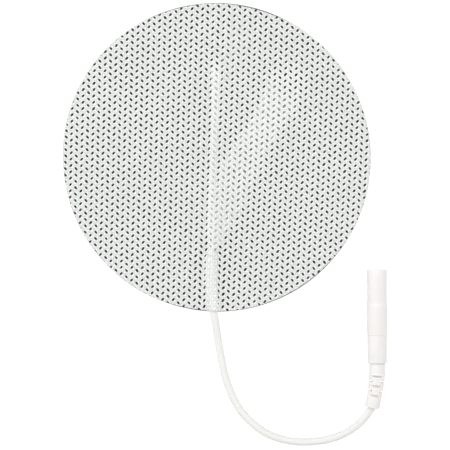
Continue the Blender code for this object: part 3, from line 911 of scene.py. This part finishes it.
@dataclass
class PigtailLead:
    """The white insulated lead from under the cover to the strain relief."""

    radius: float = LEAD_RADIUS
    in_pad: float = 1.95 * MM
    sides: int = 32
    stations: int = 240
    route_mm: list[tuple[float, float, float]] = field(
        default_factory=lambda: [
            (-1.2, -24.0, 1.95),
            (-1.2, -27.9, 1.95),
            (-0.9, -31.7, 1.95),
            (-0.5, -35.6, 1.95),
            (0.1, -39.4, 1.56),
            (0.7, -43.2, 1.02),
            (1.4, -47.0, 0.87),
            (2.3, -50.7, 0.87),
            (3.7, -54.3, 0.87),
            (5.6, -57.6, 0.87),
            (8.2, -60.4, 0.87),
            (11.3, -62.6, 0.87),
            (14.9, -64.0, 0.87),
            (18.7, -64.6, 0.87),
            (22.5, -64.5, 0.87),
            (26.3, -63.8, 0.90),
            (29.8, -62.3, 1.08),
            (32.8, -60.0, 1.38),
        ]
    )

    def centre_line(self, seat: np.ndarray) -> np.ndarray:
        """The smooth curve through the route to the relief's end, then its last point inside."""
        route = np.vstack([np.array(self.route_mm) * MM, seat[:1]])
        return np.vstack([smooth_route(route, self.stations), seat[1:]])

    def build(self, seat: np.ndarray, carried: list[bpy.types.Object]) -> bpy.types.Object:
        """Carries a circle along the centre line.

        At each station the circle's axes are the level direction across the line and the one
        square to both: centre + r (cos a * across + sin a * over).

        Args:
            seat: the lead's last two points, in the strain relief.
            carried: the pieces on the lead; not used.

        Returns:
            The lead.
        """
        line = self.centre_line(seat)
        ahead = unit(np.gradient(line, axis=0))
        across = unit(np.cross(ahead, [0.0, 0.0, 1.0]))
        over = np.cross(across, ahead)
        angle = full_turn(self.sides)[None, :, None]
        ring = np.cos(angle) * across[:, None] + np.sin(angle) * over[:, None]
        points, faces = ring_surface(line[:, None] + self.radius * ring, capped=True)
        lead = mesh_piece("pigtail_lead", points, faces, sharp=60)
        lead.data.materials.append(LEAD_PVC.material())
        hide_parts("lead")
        return lead


@dataclass
class Band:
    """A band of fibres on the film, between two smooth borders given in mm.

    Its fray is how far its fibres stop short of its end, as a share of its length, and its
    waver is the size in metres of the waves in them. Crowding above 1 draws them together on the
    left. What it shows is how well they are seen through the cover, at even steps from the
    band's start to its end.
    """

    count: int
    fray: float
    waver: float
    left: list[tuple[float, float]]
    right: list[tuple[float, float]]
    crowding: float = 1.0
    shows: tuple[float, ...] = (1.0, 1.0)
    stations: int = 60

    def borders(self) -> tuple[np.ndarray, np.ndarray]:
        """Both borders in metres, with as many points each."""
        left = smooth_route(np.array(self.left) * MM, self.stations)
        return left, smooth_route(np.array(self.right) * MM, self.stations)

    def rise(self, plan: np.ndarray, softness: float) -> tuple[np.ndarray, np.ndarray]:
        """Finds what lies over the band.

        Args:
            plan: n by 2 places.
            softness: how far past its borders the band is felt.

        Returns:
            The lift of a cloth, which is 1 over the band's middle and eases to 0 past its borders,
            and that lift times how well the fibres show there.
        """
        left, right = self.borders()
        middle = (left + right) / 2
        half = np.linalg.norm(right - left, axis=1) / 2
        away, at = nearest_on_line(plan, middle)
        reach = np.interp(at, np.arange(len(half)), half)
        lift = smooth_step((reach + softness - away) / (2 * softness))
        knots = np.linspace(0.0, self.stations - 1, len(self.shows))
        return lift, lift * np.interp(at, knots, self.shows)


STRAND = Band(
    count=78,
    fray=0.06,
    waver=0.06 * MM,
    left=[(-1.5, -22.1), (-2.0, -18.0), (-1.9, -12.0), (-1.5, -4.6), (-1.2, 1.5), (-1.1, 8.0),
          (-1.2, 20.6)],
    right=[(-0.9, -22.1), (-0.4, -17.8), (-0.4, -11.8), (-0.3, -4.5), (-0.3, 1.5), (0.2, 8.0),
           (0.9, 20.6)],
)
FAN = Band(
    count=122,
    fray=0.07,
    waver=0.5 * MM,
    left=[(-0.9, -22.1), (-0.6, -17.8), (-0.4, -11.8), (0.4, -4.5), (3.4, 1.8), (7.6, 7.6),
          (10.6, 14.0), (12.2, 17.9)],
    right=[(-0.5, -22.0), (2.5, -17.2), (5.0, -12.7), (8.2, -6.8), (11.2, 0.0), (15.2, 7.2),
           (18.6, 12.0), (20.0, 14.6)],
    crowding=1.45,
    shows=(0.0, 0.12, 0.57, 1.0, 0.64),
)
STRAYS = Band(
    count=9,
    fray=0.4,
    waver=0.4 * MM,
    left=[(-0.9, 15.0), (0.2, 20.0), (2.6, 26.0), (3.6, 31.6)],
    right=[(0.8, 15.0), (4.0, 20.0), (7.2, 26.0), (10.0, 31.6)],
)


@dataclass
class ConductorFibres:
    """The lead's bared steel fibres, spread on the film as a straight strand and a wide fan."""

    start: tuple[float, float, float] = (-1.2 * MM, -24.0 * MM, 1.95 * MM)
    core: float = 0.38 * MM
    fibre: float = 0.034 * MM
    stations: int = 64
    pile: float = 0.11 * MM
    gather: float = 2.6 * MM
    # Size of each wave along a fibre, and its slowest and fastest pace in radians a length.
    paces: tuple[tuple[float, float, float], ...] = ((1.0, 8, 22), (0.5, 30, 60))
    seed: int = 7

    def waves(self, along: np.ndarray, chance: np.random.Generator) -> np.ndarray:
        """Adds up two sines along each fibre, a slow one and a quicker one of half its size.

        Args:
            along: how far along its band each station of each fibre is, from 0 to 1.
            chance: the source of each fibre's paces and phases.

        Returns:
            The sums, as many as the stations.
        """
        count = len(along)
        total = np.zeros_like(along)
        for size, low, high in self.paces:
            pace, phase = chance.uniform(low, high, (count, 1)), chance.uniform(0, 6, (count, 1))
            total += size * np.sin(along * pace + phase)
        return total

    def laid(self, band: Band) -> np.ndarray:
        """Lays a band's fibres flat on the film.

        A fibre keeps its share s of the band's width, (1-s) left + s right, with two waves added.
        The shares are about i / count, to the power of the band's crowding. A fibre stops short of
        the end by up to fray * (0.4 + s) of the length. Each has its own height in the pile, and
        moves by a quarter of it either way.

        Args:
            band: the band on the film.

        Returns:
            count by stations by 3 points.
        """
        count = band.count
        chance = np.random.default_rng(self.seed + count)
        share = ((np.arange(count) + chance.uniform(0.1, 0.9, count)) / count) ** band.crowding
        reach = 1 - band.fray * (0.4 + share) * chance.uniform(0, 1, count)
        along = np.linspace(0.0, 1.0, self.stations)[None] * reach[:, None]
        knots = np.linspace(0.0, 1.0, band.stations)
        left, right = (
            np.stack([np.interp(along, knots, side[:, k]) for k in (0, 1)], axis=-1)
            for side in band.borders()
        )
        waves = self.waves(along, chance) * band.waver / np.linalg.norm(right - left, axis=-1)
        share = np.clip(share[:, None] + waves, 0.0, 1.0)[..., None]
        layer = chance.uniform(0, 1, (count, 1)) * self.pile
        height = FILM_TOP + self.fibre + layer * (0.75 + 0.25 * np.sin(along * 25 + layer * 6e4))
        plan = left * (1 - share) + right * share
        return np.concatenate([plan, height[..., None]], axis=-1)

    def gathered(self, paths: np.ndarray) -> np.ndarray:
        """Gathers the near ends of laid fibres into the lead's round core.

        Where it starts, a fibre eases down and out from its place in the core, by the square of
        1 - smooth_step(length so far / gather).

        Args:
            paths: fibres laid on the film.

        Returns:
            The paths, which now start in the core.
        """
        count = len(paths)
        chance = np.random.default_rng(self.seed)
        spread = np.sqrt(chance.uniform(0, 1, count)) * self.core
        turn = chance.uniform(0, 2 * np.pi, count)
        around = [spread * np.cos(turn), 0 * turn, spread * np.sin(turn)]
        root = (np.array(self.start) + np.stack(around, axis=-1))[:, None]
        length = np.linalg.norm(paths - paths[:, :1], axis=-1)
        hold = (1 - smooth_step(length / self.gather))[..., None] ** 2
        paths = root * hold + paths * (1 - hold)
        return np.concatenate([root, paths[:, 1:]], axis=1)

    def tubes(self, paths: np.ndarray) -> tuple[np.ndarray, np.ndarray]:
        """Gives each path four sides and two end faces.

        The corners are centre + r (cos a * across + sin a * up), with a at 0, 90, 180 and 270
        degrees and across level and square to the path.

        Args:
            paths: n by m by 3 points.

        Returns:
            The points and the quads.
        """
        ahead = np.gradient(paths, axis=1)
        across = np.stack([ahead[..., 1], -ahead[..., 0], 0 * ahead[..., 0]], axis=-1)
        across /= np.linalg.norm(across, axis=-1)[..., None] + 1e-12
        up = np.array([0.0, 0.0, 1.0])
        corners = [across, up + 0 * across, -across, -up + 0 * across]
        rings = np.stack([paths + self.fibre * corner for corner in corners], axis=2)
        number = np.arange(rings.size // 3).reshape(rings.shape[:3])
        near, far = number[:, :-1], number[:, 1:]
        quads = np.stack([near, np.roll(near, -1, 2), np.roll(far, -1, 2), far], axis=-1)
        ends = [number[:, 0, ::-1], number[:, -1]]
        faces = np.concatenate([quads.reshape(-1, 4), *ends])
        return rings.reshape(-1, 3), faces

    def build(self) -> bpy.types.Object:
        """Lays the strand, the fan and the few strays past it as one piece.

        Returns:
            The fibres.
        """
        gathered = [self.gathered(self.laid(band)) for band in (STRAND, FAN)]
        points, faces = self.tubes(np.concatenate([*gathered, self.laid(STRAYS)]))
        fibres = mesh_piece("spread_steel_fibres", points, [faces], sharp=180)
        fibres.data.materials.append(STEEL_FIBRE.material())
        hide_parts("conductor_fibres")
        return fibres


@dataclass
class BaseLayers:
    """The hydrogel disc with the black carbon film on it."""

    gel_radius: float = 34.96 * MM
    gel_thickness: float = 0.9 * MM
    gel_round: float = 0.3 * MM
    film_radius: float = 34.82 * MM
    bond: float = 0.04 * MM
    hub: float = 5 * MM
    waver: float = 0.015 * MM
    sides: int = 288

    def stamped(self, outline: np.ndarray, radius: float, phase: float) -> np.ndarray:
        """Turns an outline, and scales each direction to the stamped edge.

        Args:
            outline: n by 2 points of radius and height.
            radius: the layer's nominal radius.
            phase: what sets the edge's waves apart from another layer's.

        Returns:
            n by sides by 3 points.
        """
        rings = turned_rings(outline, self.sides)
        edge = die_cut(full_turn(self.sides), radius, self.waver, phase)
        rings[..., :2] *= (edge / radius)[None, :, None]
        return rings

    def build_gel(self) -> bpy.types.Object:
        """Makes the gel, a low disc with a soft edge, which bonds to the film over its whole top.

        Returns:
            The gel.
        """
        bonded = self.gel_thickness + self.bond
        outline = softened(
            [
                (self.hub, bonded, 0.0),
                (self.film_radius - 0.1 * MM, bonded, 0.0),
                (self.film_radius - 0.05 * MM, self.gel_thickness, 0.0),
                (self.gel_radius, self.gel_thickness, 0.12 * MM),
                (self.gel_radius, 0.0, self.gel_round),
                (self.hub, 0.0, 0.0),
            ],
            steps=6,
        )
        points, faces = ring_surface(self.stamped(outline, self.gel_radius, 0.4), capped=True)
        gel = mesh_piece("hydrogel_disc", points, faces)
        gel.data.materials.append(HYDROGEL.material())
        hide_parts("gel_pad")
        return gel

    def build_film(self) -> bpy.types.Object:
        """Makes the film, a thin disc with a clean stamped edge, which lies on the gel.

        Returns:
            The film.
        """
        hub, base, edge = self.hub, self.gel_thickness, self.film_radius
        outline = np.array([(hub, FILM_TOP), (edge, FILM_TOP), (edge, base), (hub, base)])
        points, faces = ring_surface(self.stamped(outline, self.film_radius, 1.1), capped=True)
        film = mesh_piece("carbon_film_disc", points, faces)
        film.data.materials.append(CARBON_FILM.material())
        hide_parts("carbon_film")
        return film

    def build(self) -> bpy.types.Object:
        """Builds both layers, and returns the film that the cover lies on."""
        self.build_gel()
        return self.build_film()


@dataclass
class KnitCover:
    """The white knitted cover: a herringbone of slanted gaps, draped over the lead and fibres."""

    radius: float = 34.88 * MM
    waver: float = 0.01 * MM
    origin: tuple[float, float] = (0.608 * MM, 0.328 * MM)
    column_step: tuple[float, float] = (1.19073 * MM, -0.02737 * MM)
    row_step: tuple[float, float] = (0.04959 * MM, 1.43339 * MM)
    columns: int = 32
    rows: int = 28
    spare: float = 2.0 * MM
    gap_length: float = 0.82 * MM
    gap_width: float = 0.45 * MM
    slant: float = STITCH_SLANT
    rim_width: float = 0.07 * MM
    crown: float = 0.36 * MM
    valley: float = 0.26 * MM
    # The painted crown highlight: its share at the gaps' ends, and its strength on the ring at the
    # gaps' edges.
    highlight_at_gap_ends: float = 0.35
    gap_edge_highlight: float = 0.6
    # The knit isn't quite square. These are its shifts in x and in y in mm, for 1, u, v, uu, uv
    # and vv, where u and v are the place in units of the reach.
    shift_x: tuple[float, ...] = (0.072, 0.088, 0.006, -0.144, 0.354, -0.097)
    shift_y: tuple[float, ...] = (0.059, 0.003, -0.007, -0.279, -0.053, 0.054)
    reach: float = 34.0 * MM
    # The ridge over the lead draws cloth in: how much, from how far, over what half-width of the
    # ridge itself, where it starts in y, and over what length it grows to the full.
    pull: float = 0.46 * MM
    pull_reach: float = 20.0 * MM
    pull_half: float = 1.2 * MM
    pull_start: float = 10.0 * MM
    pull_length: float = 50.0 * MM
    unevenness: float = 0.012 * MM
    uneven_gap: float = 0.3 * MM
    # On the ridge the gaps are drawn shut, out to a distance and easing off over another. Beside
    # it they are drawn open, at a distance and over a width. Its line runs on past the lead.
    drawn_shut: float = 0.7
    shut_reach: float = 1.35 * MM
    shut_ease: float = 0.6 * MM
    drawn_open: float = 0.14
    open_middle: float = 2.6 * MM
    open_width: float = 1.1 * MM
    ridge_end: tuple[float, float] = (0.1 * MM, 1.7 * MM)
    seed: int = 3
    # Middle and half-width in degrees, and depth in mm, of each stretch where the film shows.
    bared: tuple[tuple[float, float, float], ...] = (
        (76.0, 13.0, 0.17),
        (104.0, 15.0, 0.13),
        (-99.0, 9.0, 0.18),
        (-78.0, 14.0, 0.08),
        (-52.0, 17.0, 0.14),
    )
    phase: float = 2.3
    # How pale the lead looks through the cover, out to a distance and easing off over another,
    # and how far past their borders the strand and the fan are seen.
    lead_shows: float = 0.8
    lead_reach: float = 1.6 * MM
    lead_ease: float = 0.8 * MM
    strand_shows_past: float = 0.5 * MM
    fan_shows_past: float = 1.6 * MM
    # The cloth over the lead: its glue, its clearance and the slope at which it leaves the lead.
    # Past the lead's end it runs down over two smaller circles. These are their places from the
    # end, in mm, and their radii. The line is followed to where it has left the pad.
    stuck: float = 0.02 * MM
    clearance: float = 0.05 * MM
    tent_slope: float = math.radians(58)
    lead_radius: float = LEAD_RADIUS
    nose_mm: tuple[tuple[float, float, float], ...] = ((0.45, 2.8, -0.62), (0.15, 1.2, -0.16))
    nose_radii: tuple[float, float] = (0.42 * MM, 0.78 * MM)
    line_end: float = -38.0 * MM
    # The cloth over the fibres, and how far past their borders the strand and the fan lift it.
    fibre_lift: float = 0.15 * MM
    strand_lifts_past: float = 0.35 * MM
    fan_lifts_past: float = 1.4 * MM
    slope_step: float = 0.02 * MM

    def steps(self) -> np.ndarray:
        """The knit's column step and row step as two rows."""
        return np.array([self.column_step, self.row_step])

    def ring(self) -> np.ndarray:
        """Goes round a stitch's border, up its right side and down its left.

        Returns:
            Twelve points, in columns and rows from the stitch's centre.
        """
        up = [(0.5, row) for row in (-0.5, -0.25, 0.0, 0.25, 0.5)]
        down = [(-column, -row) for column, row in up]
        return np.array([*up, (0.0, 0.5), *down, (0.0, -0.5)])

    def cells(self) -> np.ndarray:
        """Lists the stitches that the cover reaches. Odd columns sit half a row up.

        Returns:
            The column and row of each.
        """
        span = [np.arange(-count, count + 1) for count in (self.columns, self.rows)]
        column, row = np.meshgrid(*span, indexing="ij")
        grid = np.stack([column.ravel(), row.ravel() + (column.ravel() % 2) / 2], axis=1)
        return grid[np.linalg.norm(self.flat(grid), axis=1) < self.radius + self.spare]

    def flat(self, lattice: np.ndarray) -> np.ndarray:
        """Place in plan of lattice points in a flat even knit: origin + column and row steps."""
        return np.array(self.origin) + lattice @ self.steps()

    def covered(self, lead_line: np.ndarray) -> np.ndarray:
        """The part of the lead's line that lies under the cover, and a little past its edge."""
        return lead_line[lead_line[:, 1] > self.line_end]

    def settled(self, plan: np.ndarray, lead_line: np.ndarray) -> np.ndarray:
        """Moves the even knit's points to where they lie on the pad.

        First come the knit's own shifts. Then the ridge over the lead takes up cloth: at s to one
        side of the lead's line a point is drawn back by
        pull * s / sqrt(s^2 + pull_half^2) * exp(-|s| / pull_reach), and less the further it lies
        from the rim.

        Args:
            plan: n by 2 places in the even knit.
            lead_line: the lead's centre line.

        Returns:
            The places in plan.
        """
        u, v = (plan / self.reach).T
        terms = np.stack([1 + 0 * u, u, v, u * u, u * v, v * v], axis=1)
        plan = plan + terms @ np.array([self.shift_x, self.shift_y]).T * MM
        line = self.covered(lead_line)[::-1]
        side = plan[:, 0] - np.interp(plan[:, 1], line[:, 1], line[:, 0])
        share = side / np.hypot(side, self.pull_half)
        near = smooth_step((self.pull_start - plan[:, 1]) / self.pull_length)
        drawn = self.pull * share * np.exp(-np.abs(side) / self.pull_reach) * near
        return plan - np.stack([drawn, 0 * drawn], axis=1)

    def gap_offsets(self, wale: Wale, out: float, crown: float) -> np.ndarray:
        """Points round the slanted oval gap, one towards each border point.

        Towards an angle t from its long axis the oval's edge lies at
        a b / sqrt((b cos t)^2 + (a sin t)^2), and the points stand out from it. The painted
        highlight of the yarn's crown runs along the gap's long sides and fades towards its ends,
        as (sin t)^2.

        Args:
            wale: the way the stitch slants.
            out: the distance outside the gap's edge.
            crown: the painted highlight of the crown at the long sides.

        Returns:
            Twelve rows of an offset from the stitch's centre in metres and a painted crown
            highlight.
        """
        towards = self.ring() @ self.steps()
        angle = np.arctan2(towards[:, 1], towards[:, 0])
        turn = angle - wale.value * self.slant
        a, b = self.gap_length / 2, self.gap_width / 2
        reach = a * b / np.hypot(b * np.cos(turn), a * np.sin(turn)) + out
        mark = crown * (self.highlight_at_gap_ends + (1 - self.highlight_at_gap_ends) * np.sin(turn) ** 2)
        return np.stack([reach * np.cos(angle), reach * np.sin(angle), mark], axis=1)

    def sheet(self, lead_line: np.ndarray) -> tuple[np.ndarray, np.ndarray]:
        """Weaves the flat sheet.

        Each stitch has four rings of twelve points: its border above, the crown of the yarn
        round its gap, the gap's edge below, and its border below. Neighbours share border
        points. Gaps are a little uneven in size and place. The cloth is stretched over the lead,
        so they are drawn nearly shut on the ridge and a little open beside it.

        Args:
            lead_line: the lead's centre line.

        Returns:
            Points with columns x, y, height, the knit's column and row in metres and the crown
            mark, which is a painted highlight, and triangles.
        """
        cells, ring, steps = self.cells(), self.ring(), self.steps()
        chance = np.random.default_rng(self.seed)
        sizes = np.linalg.norm(steps, axis=1)
        border = (cells[:, None] + ring).reshape(-1, 2)
        keys, shared = np.unique(np.round(border * 4).astype(int), axis=0, return_inverse=True)
        shared = shared.reshape(len(cells), 12)
        border = keys / 4
        rising = (cells[:, 0] % 2 == 0)[:, None, None]
        nudge = chance.normal(0.0, self.unevenness, (len(cells), 1, 2))
        grow = chance.normal(1.0, self.unevenness / self.uneven_gap, len(cells))
        ridge = np.vstack([lead_line[0, :2] + self.ridge_end, lead_line[:, :2]])
        away, _ = nearest_on_line(self.settled(self.flat(cells), lead_line), ridge)
        grow *= 1 - self.drawn_shut * smooth_step((self.shut_reach - away) / self.shut_ease)
        grow *= 1 + self.drawn_open * np.exp(-(((away - self.open_middle) / self.open_width) ** 2))
        grow = grow[:, None, None]
        layers = []
        # The crown mark on each ring is a painted highlight. The borders get none, so they carry
        # painted shade.
        for out, lift, crown in ((self.rim_width, self.crown, 1.0), (0.0, 0.0, self.gap_edge_highlight)):
            sides = [self.gap_offsets(wale, out, crown) for wale in (Wale.RISING, Wale.FALLING)]
            offset = np.where(rising, sides[0], sides[1])
            lattice = cells[:, None] + (offset[..., :2] * grow + nudge) @ np.linalg.inv(steps)
            level = np.full_like(offset[..., :1], lift)
            columns = [self.flat(lattice), level, lattice * sizes, offset[..., 2:]]
            layers.append(np.concatenate(columns, axis=-1).reshape(-1, 6))
        flat, none = self.flat(border), np.zeros(len(border))
        above = np.column_stack([flat, none + self.valley, border * sizes, none])
        below = above * np.array([1, 1, 0, 1, 1, 1])
        inner = np.arange(len(cells) * 12).reshape(-1, 12) + 2 * len(border)
        rings = [shared, inner, inner + inner.size, shared + len(border)]
        quads = []
        for outside, inside in zip(rings, rings[1:]):
            quad = [outside, np.roll(outside, -1, 1), np.roll(inside, -1, 1), inside]
            quads.append(np.stack(quad, axis=-1).reshape(-1, 4))
        quads = np.concatenate(quads)
        triangles = np.concatenate([quads[:, [0, 1, 2]], quads[:, [0, 2, 3]]])
        return np.vstack([above, below, *layers]), triangles

    def backing(self, plan: np.ndarray, lead_line: np.ndarray) -> np.ndarray:
        """Tells how pale the thing behind the cover is, as the palest of lead, strand and fan.

        Args:
            plan: n by 2 places.
            lead_line: the lead's centre line.

        Returns:
            From 0 for the bare film up to 1 for close fibres.
        """
        away, _ = nearest_on_line(plan, self.covered(lead_line)[:, :2])
        lead = self.lead_shows * smooth_step((self.lead_reach - away) / self.lead_ease)
        strand = STRAND.rise(plan, self.strand_shows_past)[1]
        return np.max([lead, strand, FAN.rise(plan, self.fan_shows_past)[1]], axis=0)

    def lift(self, plan: np.ndarray, lead_line: np.ndarray) -> np.ndarray:
        """Height of the cover's underside above the film.

        Over the lead it is the upper half of a circle round it, up to the slope at which the
        cloth leaves it, and then dies away from there as exp(-distance). The fibres lift it by
        their own thickness. The two are joined as (a^4 + b^4)^(1/4).

        Args:
            plan: n by 2 places.
            lead_line: the lead's centre line.

        Returns:
            The heights.
        """
        line = self.covered(lead_line)
        size = np.concatenate([self.nose_radii, np.full(len(line), self.lead_radius)])
        line = np.vstack([line[0] + np.array(self.nose_mm) * MM, line])
        away, at = nearest_on_line(plan, line[:, :2])
        stations = np.arange(len(line))
        radius = np.interp(at, stations, size) + self.clearance
        centre = np.interp(at, stations, line[:, 2]) - FILM_TOP
        shoulder = radius * math.sin(self.tent_slope)
        shoulder_height = centre + radius * math.cos(self.tent_slope)
        dome = centre + np.sqrt(np.maximum(radius**2 - away**2, 0))
        fall = np.maximum(away - shoulder, 0) * math.tan(self.tent_slope) / shoulder_height
        tent = np.where(away < shoulder, dome, shoulder_height * np.exp(-fall))
        strand = STRAND.rise(plan, self.strand_lifts_past)[0]
        band = np.maximum(strand, FAN.rise(plan, self.fan_lifts_past)[0])
        return self.stuck + (tent**4 + (self.fibre_lift * band) ** 4) ** 0.25

    def draped(self, flat: np.ndarray, lead_line: np.ndarray) -> np.ndarray:
        """Lays the flat sheet on the lifted surface, its thickness along the surface's normal.

        With the lift h(x, y), a point goes to (x, y, h) + z * (-dh/dx, -dh/dy, 1) / length, so
        on a steep side its gaps turn away as real ones do.

        Args:
            flat: n by 3 points, with their height above the sheet's underside.
            lead_line: the lead's centre line.

        Returns:
            The points as they lie.
        """
        plan, step = flat[:, :2], self.slope_step
        low = self.lift(plan, lead_line)
        slope = [(self.lift(plan + shift, lead_line) - low) / step for shift in np.eye(2) * step]
        normal = unit(np.stack([-slope[0], -slope[1], np.ones(len(flat))], axis=1))
        return np.column_stack([plan, FILM_TOP + low]) + flat[:, 2:] * normal

    def cut_edge(self, plan: np.ndarray) -> np.ndarray:
        """Distance outside the stamped edge.

        The edge bares a thread of the film where it was stamped a little too far in, in a few
        stretches at the top and at the bottom. Each is a bump of
        depth * exp(-((a - middle) / half)^4).

        Args:
            plan: n by 2 places.

        Returns:
            The distances, negative inside.
        """
        angle = np.arctan2(plan[:, 1], plan[:, 0])
        bared = 0 * angle
        for middle, half, depth in self.bared:
            turn = np.abs(angle - math.radians(middle)) / math.radians(half)
            bared += depth * MM * np.exp(-(turn**4))
        edge = die_cut(angle, self.radius, self.waver, self.phase)
        return np.linalg.norm(plan, axis=1) - edge + bared

    def build(self, lead_line: np.ndarray, film: bpy.types.Object) -> bpy.types.Object:
        """Weaves, stamps and drapes the cover.

        Args:
            lead_line: the lead's centre line.
            film: the piece that the cover is stuck to; not used.

        Returns:
            The cover.
        """
        points, faces = self.sheet(lead_line)
        points[:, :2] = self.settled(points[:, :2], lead_line)
        points, faces = clip_round(points, faces, self.cut_edge(points[:, :2]))
        # The crown mark paints the yarn's highlights and the shade in its valleys.
        marks = {"crown": points[:, 5], "backing": self.backing(points[:, :2], lead_line)}
        points[:, :3] = self.draped(points[:, :3], lead_line)
        cover = mesh_piece(
            "knitted_cover",
            points[:, :3],
            [faces],
            uv=points[:, 3:5],
            marks=marks,
            sharp=180,
        )
        bm = bmesh.new()
        bm.from_mesh(cover.data)
        rim = [edge for edge in bm.edges if edge.is_boundary]
        bmesh.ops.holes_fill(bm, edges=rim, sides=0)
        bm.to_mesh(cover.data)
        bm.free()
        cover.data.materials.append(KnittedPolyester().material())
        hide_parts("knit_cover")
        return cover


def main() -> None:
    """Builds the scene in order: studio, lead and socket, base layers, fibres, cover."""
    logging.basicConfig(level=logging.INFO, format="%(message)s")
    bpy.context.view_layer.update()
    Studio().build()
    log.info("studio ready")
    connector = Connector()
    seat = connector.lead_seat()
    carried = connector.build()
    log.info("connector: %s", ", ".join(piece.name for piece in carried))
    lead = PigtailLead()
    log.info("lead: %s", lead.build(seat, carried).name)
    film = BaseLayers().build()
    log.info("base: %s", film.name)
    log.info("fibres: %s", ConductorFibres().build().name)
    cover = KnitCover().build(lead.centre_line(seat), film)
    log.info("cover: %s, %d faces", cover.name, len(cover.data.polygons))


if __name__ == "__main__":
    main()
